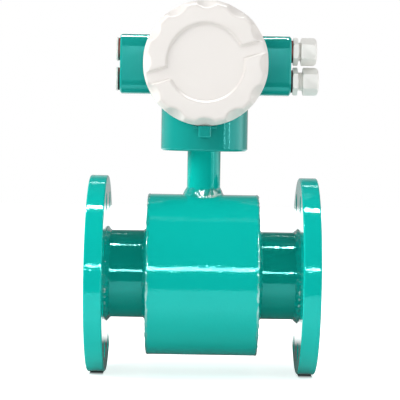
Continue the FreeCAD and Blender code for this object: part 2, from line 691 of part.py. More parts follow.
def make_converter_housing():
    """Converter casting: drum, cable arms, pedestal and lock lug in one piece."""
    housing = make_housing_outside()
    axis_point = V(0, 0, HEAD_Z)
    front = axis_point - Y * MOUTH_Y
    rear = axis_point + Y * MOUTH_Y
    hollows = [
        rod(CAVITY_R, front, MOUTH_Y + PARTITION_FRONT_Y, Y),
        rod(CAVITY_R, rear, MOUTH_Y - PARTITION_REAR_Y, -Y),
        rod(THREAD_R, front, THREAD_LENGTH, Y),
        rod(THREAD_R, rear, THREAD_LENGTH, -Y),
        arm_bar(ARM_CHANNEL_DEPTH, ARM_HEIGHT - 2 * ARM_WALL, ARM_CORNER_R - ARM_WALL,
                ARM_REACH - ARM_END_WALL),
        make_pedestal_cavity(),
        rod(WIRE_HOLE_R, V(0, WIRE_HOLE_Y, FLOOR_TOP_Z), PEDESTAL_TO_AXIS - PEDESTAL_FLOOR, Z),
        rod(RIBBON_HOLE_R, V(0, PARTITION_FRONT_Y, HEAD_Z - RIBBON_HOLE_DROP), PARTITION_THICKNESS, Y),
        rod(NECK_R + NECK_CLEARANCE, Z * PEDESTAL_Z, PEDESTAL_FLOOR, Z),
    ]
    for offset in SIDES:
        z = HEAD_Z + offset * ENTRY_HALF_PITCH
        hollows.append(rod(ENTRY_R, V(-ARM_REACH, ARM_Y, z), 2 * ARM_REACH, X))
    screw_r = LOCK_SCREW_R + LOCK_SCREW_CLEARANCE
    screw_top = lock_screw_point() + Z * LOCK_SCREW_GAP
    hollows.append(rod(screw_r, screw_top, LUG_DROP + PAD_THICKNESS, -Z))
    thread_start = earth_point() - Y * EARTH_THREAD_LENGTH
    hollows.append(rod(EARTH_THREAD_R + ENTRY_CLEARANCE, thread_start, EARTH_THREAD_LENGTH, Y))
    return housing.cut(hollows)


def make_cover_lock_screw():
    """Socket grub screw that turns up against the cover's rim."""
    top = lock_screw_point()
    screw = rod(LOCK_SCREW_R, top, LOCK_SCREW_LENGTH, -Z)
    socket = placed(hex_prism(LOCK_SCREW_SOCKET_FLATS, LOCK_SCREW_SOCKET_DEPTH),
                    top - Z * LOCK_SCREW_LENGTH, Z)
    return screw.cut(socket)


def make_earth_screw():
    """Hexagon screw and washer of the earth terminal."""
    point = earth_point()
    thread = rod(EARTH_THREAD_R, point - Y * EARTH_THREAD_LENGTH, EARTH_THREAD_LENGTH, Y)
    washer = rod(EARTH_WASHER_R, point, EARTH_WASHER_THICKNESS, Y)
    head = placed(hex_prism(EARTH_HEAD_FLATS, EARTH_HEAD_HEIGHT), point + Y * EARTH_WASHER_THICKNESS, Y)
    return joined([thread, washer, head])


# ------------------------------------------------------------ screw covers
def cover_form():
    """Outside of a screw cover along +Z: rim, tapered edge, threaded plug and scoops."""
    outline = [(0, 0), (COVER_R, 0), (COVER_R, COVER_RIM_HEIGHT), (COVER_FACE_R, COVER_HEIGHT),
               (0, COVER_HEIGHT)]
    form = turned(outline)
    form = round_edges_at(form, COVER_FACE_ROUND, COVER_HEIGHT, Z)
    form = form.cut([placed_scoop(i) for i in range(SCOOP_COUNT)])
    plug = rod(COVER_PLUG_R, V(0, 0, 0), COVER_PLUG_LENGTH, -Z)
    groove_half = ORING_SECTION_R + ORING_CLEARANCE
    groove = sleeve(ORING_R + groove_half, ORING_R - groove_half, V(0, 0, 0), 2 * groove_half, Z)
    return form.fuse(plug).removeSplitter().cut(groove)


def placed_scoop(index):
    """Finger scoop: a cylinder that leans out so that it dies away towards the rim."""
    face_point = V(COVER_FACE_R - SCOOP_DEPTH + SCOOP_R, 0, COVER_HEIGHT)
    low_point = V(COVER_R + SCOOP_R, 0, COVER_HEIGHT - SCOOP_RUN)
    lean = (low_point - face_point).normalize()
    scoop = rod(SCOOP_R, face_point - lean * SCOOP_R, 2 * COVER_R, lean)
    scoop.rotate(V(0, 0, 0), Z, index * 360 / SCOOP_COUNT)
    return scoop


def make_blank_cover():
    """Blank cover with a dished middle and a spanner slot across it."""
    cover = cover_form()
    floor = COVER_HEIGHT - COVER_RECESS_DEPTH
    recess = turned([(0, floor), (COVER_RECESS_R - COVER_RECESS_DRAFT, floor),
                     (COVER_RECESS_R, COVER_HEIGHT), (0, COVER_HEIGHT)])
    slot = Part.makeBox(2 * COVER_R, COVER_SLOT_WIDTH, COVER_RECESS_DEPTH,
                        V(-COVER_R, -COVER_SLOT_WIDTH / 2, floor))
    slot.rotate(V(0, 0, 0), Z, COVER_SLOT_ANGLE)
    bore = rod(COVER_BORE_R, Z * -COVER_PLUG_LENGTH, COVER_PLUG_LENGTH + floor - COVER_ROOF, Z)
    return front_cover(cover.cut([recess, slot, bore]))


def front_cover(shape):
    """Seat a cover part on the front mouth of the drum."""
    return placed(shape, V(0, -MOUTH_Y - COVER_SEAT_GAP, HEAD_Z), -Y)


def rear_cover(shape):
    """Seat a cover part on the rear mouth of the drum."""
    return placed(shape, V(0, MOUTH_Y + COVER_SEAT_GAP, HEAD_Z), Y)


def make_oring():
    """O-ring in the groove under a cover's rim."""
    return Part.makeTorus(ORING_R, ORING_SECTION_R, Z * (ORING_SECTION_R + ORING_CLEARANCE))


def make_window_cover():
    """Cover with a round window, its glass seat facing inwards."""
    opening = turned([(0, GLASS_SEAT), (WINDOW_R, GLASS_SEAT), (WINDOW_R, COVER_HEIGHT - WINDOW_BEVEL),
                      (WINDOW_R + WINDOW_BEVEL, COVER_HEIGHT), (0, COVER_HEIGHT)])
    bore = rod(COVER_BORE_R, Z * -COVER_PLUG_LENGTH, COVER_PLUG_LENGTH + GLASS_SEAT, Z)
    return rear_cover(cover_form().cut([opening, bore]))


def make_window_glass():
    """Toughened glass disc behind the window's rim."""
    return rear_cover(rod(GLASS_R, Z * (GLASS_TOP - GLASS_THICKNESS), GLASS_THICKNESS, Z))


def make_window_gasket():
    """Flat gasket between the glass and the window's rim."""
    return rear_cover(sleeve(GLASS_R, WINDOW_R, Z * GLASS_TOP, GASKET_THICKNESS, Z))


def make_window_retainer():
    """Threaded ring that holds the glass, with two notches for a key."""
    low = GLASS_TOP - GLASS_THICKNESS - RETAINER_THICKNESS
    ring = sleeve(COVER_BORE_R - RETAINER_CLEARANCE, WINDOW_R, Z * low, RETAINER_THICKNESS, Z)
    notch = Part.makeBox(2 * COVER_BORE_R, RETAINER_NOTCH_WIDTH, RETAINER_NOTCH_DEPTH,
                         V(-COVER_BORE_R, -RETAINER_NOTCH_WIDTH / 2, low))
    return rear_cover(ring.cut(notch))


# --------------------------------------------------------- cable entries
def entry_point(side, offset, x):
    """Point on a cable entry's axis: side is -1 or 1 along X, offset -1 or 1 along Z."""
    return V(side * x, ARM_Y, HEAD_Z + offset * ENTRY_HALF_PITCH)


def make_entry_washers():
    """Soft sealing washers under the two glands and the two plugs."""
    washer = sleeve(WASHER_R, SPIGOT_R, V(0, 0, 0), WASHER_THICKNESS, Z)
    return group([placed(washer, entry_point(side, offset, ARM_REACH), X * side)
                  for side in SIDES for offset in SIDES])


def chamfered_hex(flats, height, chamfer):
    """Hexagon with its corners turned off at both ends."""
    corner_r = flats / math.sqrt(3)
    turned_r = corner_r - chamfer
    blank = turned([(0, 0), (turned_r, 0), (corner_r, chamfer), (corner_r, height - chamfer),
                    (turned_r, height), (0, height)])
    return hex_prism(flats, height).common(blank)


def make_gland_body(offset):
    """Gland body: threaded spigot, hexagon, nut thread and a crown of claws."""
    hexagon = chamfered_hex(GLAND_FLATS, GLAND_HEX_THICKNESS, GLAND_CHAMFER)
    spigot = rod(SPIGOT_R, V(0, 0, 0), SPIGOT_LENGTH, -Z)
    neck = rod(GLAND_NECK_R, V(0, 0, 0), GLAND_HEX_THICKNESS + GLAND_NECK_LENGTH, Z)
    claw_start = GLAND_HEX_THICKNESS + GLAND_NECK_LENGTH
    crown = rod(CLAW_R, V(0, 0, 0), claw_start + CLAW_LENGTH, Z)
    body = joined([hexagon, spigot, neck, crown])
    bore = rod(GLAND_BORE_R, Z * -SPIGOT_LENGTH, SPIGOT_LENGTH + claw_start + CLAW_LENGTH, Z)
    slits = []
    for i in range(CLAW_COUNT // 2):
        slit = Part.makeBox(2 * CLAW_R, CLAW_SLIT, CLAW_LENGTH, V(-CLAW_R, -CLAW_SLIT / 2, claw_start))
        slit.rotate(V(0, 0, 0), Z, i * 360 / CLAW_COUNT)
        slits.append(slit)
    return placed(body.cut([bore, *slits]), entry_point(1, offset, GLAND_FACE_X), X)


def make_gland_nut(offset, gap):
    """Domed cap nut of a gland, screwed on to leave a gap at the hexagon."""
    corner_r = GLAND_FLATS / math.sqrt(3)
    dome = turned([(0, 0), (corner_r - GLAND_CHAMFER, 0), (corner_r, GLAND_CHAMFER),
                   (corner_r, NUT_LENGTH), (0, NUT_LENGTH)])
    dome = round_edges_at(dome, NUT_DOME_ROUND, NUT_LENGTH, Z)
    nut = hex_prism(GLAND_FLATS, NUT_LENGTH).common(dome)
    thread_r = GLAND_NECK_R + NUT_THREAD_CLEARANCE
    cone_top = NUT_LENGTH - NUT_MOUTH_LENGTH
    inside = turned([(0, 0), (thread_r, 0), (thread_r, NUT_THREAD_DEPTH), (NUT_MOUTH_R, cone_top),
                     (NUT_MOUTH_R, NUT_LENGTH), (0, NUT_LENGTH)])
    return placed(nut.cut(inside), entry_point(1, offset, GLAND_NECK_X + gap), X)


def make_gland_seal(offset):
    """Rubber sleeve inside the claws, which grips a cable."""
    start = GLAND_CLAW_X + CLAW_LENGTH - SEAL_LENGTH
    seal = sleeve(GLAND_BORE_R - SEAL_CLEARANCE, SEAL_BORE_R, V(0, 0, 0), SEAL_LENGTH, Z)
    return placed(seal, entry_point(1, offset, start), X)


def make_blanking_plug(offset):
    """Plug with a low round head and a coin slot."""
    head = turned([(0, 0), (PLUG_HEAD_R, 0), (PLUG_HEAD_R, PLUG_HEAD_THICKNESS - PLUG_EDGE_CHAMFER),
                   (PLUG_HEAD_R - PLUG_EDGE_CHAMFER, PLUG_HEAD_THICKNESS), (0, PLUG_HEAD_THICKNESS)])
    plug = joined([head, rod(SPIGOT_R, V(0, 0, 0), SPIGOT_LENGTH, -Z)])
    slot = centred_box(V(0, 0, PLUG_HEAD_THICKNESS - PLUG_SLOT_DEPTH / 2),
                       V(PLUG_SLOT_WIDTH, PLUG_SLOT_LENGTH, PLUG_SLOT_DEPTH))
    return placed(plug.cut(slot), entry_point(-1, offset, GLAND_FACE_X), -X)


# ------------------------------------------------------ terminal equipment
def corner_points(half_x, half_z, y):
    """Four points about the drum's axis."""
    return [V(sx * half_x, y, HEAD_Z + sz * half_z) for sx in SIDES for sz in SIDES]


def terminal_corners(y):
    """Screw positions of the terminal board."""
    return corner_points(TERMINAL_BOARD_LENGTH / 2 - TERMINAL_POST_INSET,
                         TERMINAL_BOARD_HEIGHT / 2 - TERMINAL_POST_INSET, y)


def make_terminal_posts():
    """Posts between the partition and the terminal board."""
    return group([rod(POST_R, point, TERMINAL_POST_LENGTH, -Y)
                  for point in terminal_corners(PARTITION_FRONT_Y)])


def make_terminal_board():
    """Board that carries the terminal strips."""
    centre = V(0, TERMINAL_FACE_Y + BOARD_THICKNESS / 2, HEAD_Z)
    return centred_box(centre, V(TERMINAL_BOARD_LENGTH, BOARD_THICKNESS, TERMINAL_BOARD_HEIGHT))


def pole_positions():
    """X position of each terminal pole."""
    pitch = STRIP_LENGTH / POLE_COUNT
    return [(i + 0.5) * pitch - STRIP_LENGTH / 2 for i in range(POLE_COUNT)]


def make_terminal_strip(row):
    """Terminal strip with one wire port for each pole, open away from the middle."""
    z = HEAD_Z + row * STRIP_OFFSET
    centre_y = TERMINAL_FACE_Y - STRIP_DEPTH / 2
    strip = centred_box(V(0, centre_y, z), V(STRIP_LENGTH, STRIP_DEPTH, STRIP_HEIGHT))
    edge = z + row * STRIP_HEIGHT / 2
    for x in pole_positions():
        centre = V(x, centre_y, edge - row * POLE_PORT_DEPTH / 2)
        strip = strip.cut(centred_box(centre, V(POLE_PORT_WIDTH, POLE_PORT_HEIGHT, POLE_PORT_DEPTH)))
    return strip


def make_terminal_screws():
    """Clamp screws on the face of both strips."""
    face = TERMINAL_FACE_Y - STRIP_DEPTH
    return group([rod(POLE_SCREW_R, V(x, face, HEAD_Z + row * STRIP_OFFSET), POLE_SCREW_HEIGHT, -Y)
                  for row in SIDES for x in pole_positions()])


def make_board_screws():
    """Screws that hold the terminal board and the display board on their posts."""
    front = [rod(BOARD_SCREW_R, point, BOARD_SCREW_HEIGHT, -Y) for point in terminal_corners(TERMINAL_FACE_Y)]
    rear = [rod(BOARD_SCREW_R, point, BOARD_SCREW_HEIGHT, Y)
            for point in corner_points(POST_OFFSET, POST_OFFSET, DISPLAY_FACE_Y)]
    return group(front + rear)


# ---------------------------------------------------- converter electronics
def make_main_board():
    """Round converter board."""
    return rod(BOARD_R, V(0, MAIN_BOARD_Y, HEAD_Z), BOARD_THICKNESS, Y)


def make_main_posts():
    """Posts between the partition and the converter board."""
    return group([rod(POST_R, point, MAIN_POST_LENGTH, Y)
                  for point in corner_points(POST_OFFSET, POST_OFFSET, PARTITION_REAR_Y)])


def make_display_posts():
    """Posts between the converter board and the display board."""
    return group([rod(POST_R, point, DISPLAY_POST_LENGTH, Y)
                  for point in corner_points(POST_OFFSET, POST_OFFSET, MAIN_FACE_Y)])


def make_transformer():
    """Transformer of the power supply."""
    size = TRANSFORMER_SIZE
    return centred_box(V(TRANSFORMER_OFFSET, MAIN_FACE_Y + size.y / 2, HEAD_Z), size)


def make_capacitors():
    """Pair of smoothing capacitors."""
    return group([rod(CAPACITOR_R, V(CAPACITOR_OFFSET, MAIN_FACE_Y, HEAD_Z + side * CAPACITOR_PITCH / 2),
                      CAPACITOR_HEIGHT, Y) for side in SIDES])


def make_display_board():
    """Board behind the display and keys."""
    return rod(BOARD_R, V(0, DISPLAY_BOARD_Y, HEAD_Z), BOARD_THICKNESS, Y)


def lcd_centre(y):
    """Centre of the display at a given depth."""
    return V(0, y, HEAD_Z + LCD_RAISE)


def make_lcd_module():
    """Display module on the display board."""
    return centred_box(lcd_centre(DISPLAY_FACE_Y + LCD_SIZE.y / 2), LCD_SIZE)


def key_point(index, y):
    """Point on a key's axis."""
    return V((index - (KEY_COUNT - 1) / 2) * KEY_PITCH, y, HEAD_Z - KEY_DROP)


def make_display_panel():
    """Cup-shaped panel over the display board, with a window and key holes."""
    depth = PANEL_FACE_Y - DISPLAY_FACE_Y
    panel = rod(BOARD_R, V(0, DISPLAY_FACE_Y, HEAD_Z), depth, Y)
    inside = rod(BOARD_R - PANEL_SKIRT, V(0, DISPLAY_FACE_Y, HEAD_Z), depth - PANEL_THICKNESS, Y)
    window_size = V(LCD_SIZE.x - 2 * LCD_GLASS_INSET, depth, LCD_SIZE.z - 2 * LCD_GLASS_INSET)
    window = centred_box(lcd_centre(DISPLAY_FACE_Y + depth / 2), window_size)
    holes = [rod(KEY_R + KEY_CLEARANCE, key_point(i, PANEL_Y), PANEL_THICKNESS, Y)
             for i in range(KEY_COUNT)]
    return panel.cut([inside, window, *holes])


def make_key(index):
    """Push key with a flange that stops behind the panel."""
    flange_y = PANEL_Y - KEY_CLEARANCE - KEY_FLANGE_THICKNESS
    flange = rod(KEY_R + KEY_FLANGE, key_point(index, flange_y), KEY_FLANGE_THICKNESS, Y)
    foot_y = SWITCH_TOP_Y + KEY_TRAVEL + KEY_CLEARANCE / 2
    cap = rod(KEY_R, key_point(index, foot_y), PANEL_FACE_Y + KEY_PROUD - foot_y, Y)
    return joined([cap, flange])


def make_key_switches():
    """Tactile switches under the keys."""
    size = V(SWITCH_SIZE, SWITCH_HEIGHT, SWITCH_SIZE)
    return group([centred_box(key_point(i, DISPLAY_FACE_Y + SWITCH_HEIGHT / 2), size)
                  for i in range(KEY_COUNT)])


# ------------------------------------------------------------------ output
def all_nodes():
    """Every sub-part by name."""
    nodes = {
        "measuring_tube": make_measuring_tube(),
        "liner": make_liner(),
        "inlet_flange": make_flange(-1),
        "outlet_flange": make_flange(1),
        "weld_beads": make_weld_beads(),
        "electrode_front": make_electrode(-1),
        "electrode_rear": make_electrode(1),
        "electrode_bushes": make_electrode_bushes(),
        "electrode_washers": make_electrode_washers(),
        "electrode_nuts": make_electrode_nuts(),
        "coil_bottom": make_coil(-1),
        "coil_top": make_coil(1),
        "pole_core_bottom": make_pole_core(-1),
        "pole_core_top": make_pole_core(1),
        "yoke_ring": make_yoke_ring(),
        "yoke_screws": make_yoke_screws(),
        "outer_shell": make_outer_shell(),
        "inlet_end_plate": make_end_plate(-1),
        "outlet_end_plate": make_end_plate(1),
        "neck_tube": make_neck_tube(),
        "neck_lock_nut": make_neck_lock_nut(),
        "converter_housing": make_converter_housing(),
        "cover_lock_screw": make_cover_lock_screw(),
        "earth_screw": make_earth_screw(),
        "blank_cover": make_blank_cover(),
        "blank_cover_oring": front_cover(make_oring()),
        "window_cover": make_window_cover(),
        "window_cover_oring": rear_cover(make_oring()),
        "window_glass": make_window_glass(),
        "window_gasket": make_window_gasket(),
        "window_retainer": make_window_retainer(),
        "entry_washers": make_entry_washers(),
        "terminal_posts": make_terminal_posts(),
        "terminal_board": make_terminal_board(),
        "terminal_strip_upper": make_terminal_strip(1),
        "terminal_strip_lower": make_terminal_strip(-1),
        "terminal_screws": make_terminal_screws(),
        "board_screws": make_board_screws(),
        "main_posts": make_main_posts(),
        "main_board": make_main_board(),
        "transformer": make_transformer(),
        "capacitors": make_capacitors(),
        "display_posts": make_display_posts(),
        "display_board": make_display_board(),
        "lcd_module": make_lcd_module(),
        "display_panel": make_display_panel(),
        "key_switches": make_key_switches(),
    }
    for row, offset, gap in (("upper", 1, UPPER_NUT_GAP), ("lower", -1, LOWER_NUT_GAP)):
        nodes["gland_body_" + row] = make_gland_body(offset)
        nodes["gland_nut_" + row] = make_gland_nut(offset, gap)
        nodes["gland_seal_" + row] = make_gland_seal(offset)
        nodes["blanking_plug_" + row] = make_blanking_plug(offset)
    for index in range(KEY_COUNT):
        nodes["key_%d" % (index + 1)] = make_key(index)
    return nodes


os.makedirs("parts", exist_ok=True)
for name, shape in all_nodes().items():
    shape.exportStep("parts/%s.step" % name)
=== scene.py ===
"""Electromagnetic flow meter: enamelled pipe section, cast head, screw covers and cable entries."""

import json
import logging
import math
from dataclasses import dataclass
from enum import Enum
from typing import Any, Callable, Sequence

import bpy
from mathutils import Euler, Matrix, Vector, noise

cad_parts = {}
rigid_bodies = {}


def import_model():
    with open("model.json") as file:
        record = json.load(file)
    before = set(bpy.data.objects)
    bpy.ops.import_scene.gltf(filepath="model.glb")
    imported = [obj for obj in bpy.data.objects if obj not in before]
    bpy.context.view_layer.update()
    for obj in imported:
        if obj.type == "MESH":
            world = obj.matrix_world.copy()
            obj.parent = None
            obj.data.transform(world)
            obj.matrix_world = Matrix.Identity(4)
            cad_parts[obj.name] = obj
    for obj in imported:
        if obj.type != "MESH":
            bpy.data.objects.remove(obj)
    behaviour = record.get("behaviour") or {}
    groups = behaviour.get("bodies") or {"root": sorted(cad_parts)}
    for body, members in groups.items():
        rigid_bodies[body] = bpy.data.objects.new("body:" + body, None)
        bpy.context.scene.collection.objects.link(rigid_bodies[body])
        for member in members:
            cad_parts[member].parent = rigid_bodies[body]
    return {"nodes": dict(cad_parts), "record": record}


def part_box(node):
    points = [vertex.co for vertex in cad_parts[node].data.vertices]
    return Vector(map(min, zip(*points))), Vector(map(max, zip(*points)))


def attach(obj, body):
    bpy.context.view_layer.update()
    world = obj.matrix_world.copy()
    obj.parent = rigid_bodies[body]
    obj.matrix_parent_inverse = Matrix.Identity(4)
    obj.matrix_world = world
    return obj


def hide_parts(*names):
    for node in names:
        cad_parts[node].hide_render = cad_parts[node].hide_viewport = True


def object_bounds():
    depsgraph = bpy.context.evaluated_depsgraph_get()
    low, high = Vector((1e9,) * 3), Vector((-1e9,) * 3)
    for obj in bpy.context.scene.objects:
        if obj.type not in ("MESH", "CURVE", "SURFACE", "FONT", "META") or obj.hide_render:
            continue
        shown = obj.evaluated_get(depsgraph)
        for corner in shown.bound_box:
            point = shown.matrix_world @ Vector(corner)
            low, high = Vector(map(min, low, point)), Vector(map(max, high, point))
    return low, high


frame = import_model()
CAD_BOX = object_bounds()

LOG = logging.getLogger("flow_meter")
NODES = frame["nodes"]
MM = 0.001
WHITE = (1.0, 1.0, 1.0, 1.0)
BLACK = (0.0, 0.0, 0.0, 1.0)
LINES_PER_SCALE = 0.31  # scale of a wave pattern that repeats once in each unit

Colour = tuple[float, float, float, float]
Corner = tuple[float, float, float]
Span = tuple[float, float, float, float]
Piece = bpy.types.Object
Socket = bpy.types.NodeSocket


class Axis(Enum):
    """Direction that a piece, modelled standing along +Z, is turned to."""

    FRONT = (math.pi / 2, 0.0, 0.0)
    REAR = (-math.pi / 2, 0.0, 0.0)
    RIGHT = (0.0, math.pi / 2, 0.0)
    LEFT = (0.0, -math.pi / 2, 0.0)
    UP = (0.0, 0.0, 0.0)


# ------------------------------------------------------------------ finishes
def linear(hex_code: str) -> Colour:
    """Turn an sRGB hex colour into linear RGBA.

    Args:
        hex_code: colour such as "#1fb3a8".

    Returns:
        The colour as Blender's sockets take it.
    """
    shares = [int(hex_code[i:i + 2], 16) / 255 for i in (1, 3, 5)]
    parts = [s / 12.92 if s <= 0.04045 else ((s + 0.055) / 1.055) ** 2.4 for s in shares]
    return (*parts, 1.0)


class Wiring:
    """Nodes of a material or world, with short forms of the common ones.

    Args:
        owner: material or world that the nodes belong to.
        last: name of its shader node.
    """

    def __init__(self, owner: bpy.types.ID, last: str = "Principled BSDF") -> None:
        """Take up the owner's nodes."""
        owner.use_nodes = True
        self.tree = owner.node_tree
        self.surface = self.tree.nodes[last]

    def add(self, kind: str, inputs: dict | None = None, **settings: Any) -> bpy.types.Node:
        """Add a node; an input given as a socket is linked, any other is set.

        Args:
            kind: Blender's name of the node type after "ShaderNode".
            inputs: values or output sockets by input name or number.
            **settings: properties of the node.

        Returns:
            The new node.
        """
        node = self.tree.nodes.new("ShaderNode" + kind)
        for key, value in settings.items():
            setattr(node, key, value)
        for key, value in (inputs or {}).items():
            if isinstance(value, Socket):
                self.tree.links.new(value, node.inputs[key])
            else:
                node.inputs[key].default_value = value
        return node

    def fix(self, values: dict[str, Any]) -> None:
        """Set what is the same all over on the shader's own sockets."""
        for name, value in values.items():
            self.surface.inputs[name].default_value = value

    def drive(self, name: str, source: Socket) -> None:
        """Link a pattern to a socket of the shader."""
        self.tree.links.new(source, self.surface.inputs[name])

    def place(self, kind: str = "Object") -> Socket:
        """Position on the piece, or direction with kind "Generated" in a world."""
        return self.add("TexCoord").outputs[kind]

    def axes(self, vector: Socket) -> Any:
        """Outputs "X", "Y" and "Z" of a vector."""
        return self.add("SeparateXYZ", {0: vector}).outputs

    def math(self, operation: str, *values: Any) -> Socket:
        """Calculate with numbers or sockets."""
        return self.add("Math", dict(enumerate(values)), operation=operation).outputs[0]

    def remap(self, value: Socket, span: Sequence[Any], **settings: Any) -> Socket:
        """Map a value from the span's first two numbers to its last two."""
        return self.add("MapRange", {0: value, **dict(enumerate(span, 1))}, **settings).outputs[0]

    def blend(self, share: Socket, first: Any, second: Any) -> Socket:
        """Mix two numbers."""
        return self.add("Mix", {0: share, 2: first, 3: second}, data_type="FLOAT").outputs[0]

    def tint(self, share: Socket, first: Any, second: Any) -> Socket:
        """Mix two colours."""
        return self.add("Mix", {0: share, 6: first, 7: second}, data_type="RGBA").outputs[2]

    def cloud(self, vector: Socket, scale: float, detail: float) -> Socket:
        """Soft noise from 0 to 1."""
        return self.add("TexNoise", {"Vector": vector, "Scale": scale, "Detail": detail}).outputs["Fac"]

    def waves(self, mm: Socket, pitch: float, more: dict | None = None, **settings: Any) -> Socket:
        """Lines one pitch apart in millimetres, from 0 to 1."""
        inputs = {"Vector": mm, "Scale": LINES_PER_SCALE / pitch, **(more or {})}
        return self.add("TexWave", inputs, **settings).outputs["Fac"]

    def bump(self, height: Socket, depth: float) -> None:
        """Raise the surface on top of any bump that it has.

        Args:
            height: pattern from 0 to 1.
            depth: its full depth in millimetres.
        """
        inputs = {"Height": height, "Distance": depth * MM, "Strength": 1.0}
        for link in self.surface.inputs["Normal"].links:
            inputs["Normal"] = link.from_socket
        self.drive("Normal", self.add("Bump", inputs).outputs["Normal"])

    def grain(self, mm: Socket, size: float, depth: float) -> None:
        """Add bumps of a width and height in millimetres."""
        self.bump(self.cloud(mm, 1 / size, 1.0), depth)


@dataclass(frozen=True)
class Finish:
    """Base of every finish: a principled surface with patterns measured in millimetres.

    Args:
        name: common name of the material.
        colour: its sRGB colour.
        roughness: how dull its surface is, from 0 to 1.
        patch_size: width of the soft patches in its colour and dullness.
        patch_share: share by which the patches change the colour, 0 for none.
        grain_size: width of its fine bumps.
        grain_depth: their height, 0 for none.
    """

    name: str
    colour: str
    roughness: float
    patch_size: float = 12.0
    patch_share: float = 0.0
    grain_size: float = 0.8
    grain_depth: float = 0.0

    def build(self) -> bpy.types.Material:
        """Return the finish as a material, made once."""
        known = bpy.data.materials.get(self.name)
        if known:
            return known
        material = bpy.data.materials.new(self.name)
        skin = Wiring(material)
        skin.fix({"Base Color": linear(self.colour), "Roughness": self.roughness, **self.constants()})
        mm = skin.add("VectorMath", {0: skin.place(), "Scale": 1 / MM}, operation="SCALE").outputs[0]
        if self.patch_share:
            self.mottle(skin, mm)
        if self.grain_depth:
            skin.grain(mm, self.grain_size, self.grain_depth)
        self.dress(skin, mm)
        return material

    def constants(self) -> dict[str, Any]:
        """Values of the shader's sockets that are the same all over."""
        return {}

    def dress(self, skin: Wiring, mm: Socket) -> None:
        """Add what the finish shows besides patches and grain.

        Args:
            skin: the material's nodes.
            mm: position in millimetres.
        """

    def mottle(self, skin: Wiring, mm: Socket) -> None:
        """Vary the colour and dullness softly.

        Args:
            skin: the material's nodes.
            mm: position in millimetres.
        """
        cloud = skin.cloud(mm, 1 / self.patch_size, 3.0)
        low, high = ((*(part * k for part in linear(self.colour)[:3]), 1.0)
                     for k in (1 - self.patch_share, 1 + self.patch_share))
        skin.drive("Base Color", skin.tint(cloud, low, high))
        skin.drive("Roughness", skin.remap(cloud, (0.0, 1.0, self.roughness * 0.85, self.roughness * 1.15)))


@dataclass(frozen=True)
class Enamel(Finish):
    """Sprayed gloss enamel on metal: deep teal with an orange-peel skin that makes highlights waver.

    Args:
        coat: share of thick pooled lacquer on top.
        sheen: tint of what it mirrors when seen square on.
        sag_size: width of the long waves under the peel in millimetres.
        sag_depth: their height.
    """

    patch_size: float = 35.0
    patch_share: float = 0.035
    grain_size: float = 2.6
    grain_depth: float = 0.1
    coat: float = 0.0
    sheen: Colour = (0.22, 1.0, 1.0, 1.0)
    sag_size: float = 9.0
    sag_depth: float = 0.04

    def constants(self) -> dict[str, Any]:
        """Clear, strongly mirroring film."""
        return {"IOR": 1.6, "Specular Tint": self.sheen, "Coat Weight": self.coat, "Coat IOR": 2.2,
                "Coat Roughness": self.roughness}

    def dress(self, skin: Wiring, mm: Socket) -> None:
        """Long waves of film thickness."""
        skin.grain(mm, self.sag_size, self.sag_depth)


@dataclass(frozen=True)
class PowderCoat(Finish):
    """Baked cream powder coat: warm white, eggshell sheen, a fine even orange peel."""

    patch_size: float = 28.0
    patch_share: float = 0.012
    grain_size: float = 0.9
    grain_depth: float = 0.012


@dataclass(frozen=True)
class Plastic(Finish):
    """Moulded plastic or rubber: even colour, slight cloudiness and a fine mould grain.

    Args:
        softness: share of the light that sinks in.
        sink: how deep it sinks in millimetres.
    """

    patch_size: float = 9.0
    patch_share: float = 0.03
    grain_size: float = 0.7
    grain_depth: float = 0.008
    softness: float = 0.0
    sink: float = 0.8

    def constants(self) -> dict[str, Any]:
        """Light that sinks in a little where the plastic is milky."""
        return {"Subsurface Weight": self.softness, "Subsurface Scale": self.sink * MM}


@dataclass(frozen=True)
class Liner(Plastic):
    """Moulded fluoropolymer: waxy bone white, slightly see-through, faint turning rings on its faces."""

    patch_size: float = 14.0
    patch_share: float = 0.025
    grain_depth: float = 0.0
    softness: float = 0.25
    sink: float = 2.0
    ring_pitch: float = 0.8
    ring_depth: float = 0.012

    def dress(self, skin: Wiring, mm: Socket) -> None:
        """Faint rings about the pipe's axis."""
        rings = skin.waves(mm, self.ring_pitch, wave_type="RINGS", rings_direction="X")
        skin.bump(rings, self.ring_depth)


@dataclass(frozen=True)
class FibreSeal(Finish):
    """Vulcanised fibre washer: brick red, matt and fibrous, with shade painted nearly black towards its
    lower edge.

    Args:
        painted_shade_colour: colour painted on the washer as shade.
        row_middle: height between the two rows of washers in millimetres.
        row_pitch: distance between the rows.
        radius: of a washer.
        upper_edge: where the painted shade starts on the upper row, as a share of the radius.
        lower_edge: the same for the lower row.
        fray: how far the edge of the painted shade wanders.
        fade: half the width of that edge.
    """

    # Painted shade: this dark colour on the lower part of each washer stands in for shade.
    painted_shade_colour: str = "#2b1a17"
    row_middle: float = 213.0
    row_pitch: float = 30.0
    radius: float = 11.3
    upper_edge: float = -0.2
    lower_edge: float = 0.9
    fray: float = 6.0
    fade: float = 4.0

    def dress(self, skin: Wiring, mm: Socket) -> None:
        """Painted shade: red above, dark below, and the lower row darker than the upper.

        Args:
            skin: the material's nodes.
            mm: position in millimetres.
        """
        # Painted shade: the washer turns dark towards its lower edge, more so on the lower row.
        level = skin.axes(mm)["Z"]
        fibres = skin.cloud(mm, 1.4, 3.0)
        row = skin.math("GREATER_THAN", level, self.row_middle)
        centre = skin.math("MULTIPLY_ADD", row, self.row_pitch, self.row_middle - self.row_pitch / 2)
        ragged = skin.math("MULTIPLY_ADD", fibres, self.fray, skin.math("SUBTRACT", level, centre))
        start = skin.remap(row, (0.0, 1.0, self.lower_edge * self.radius, self.upper_edge * self.radius))
        unshaded_share = skin.remap(skin.math("SUBTRACT", ragged, start), (-self.fade, self.fade, 0.0, 1.0))
        skin.drive("Base Color", skin.tint(unshaded_share, linear(self.painted_shade_colour), linear(self.colour)))
        skin.bump(fibres, 0.05)


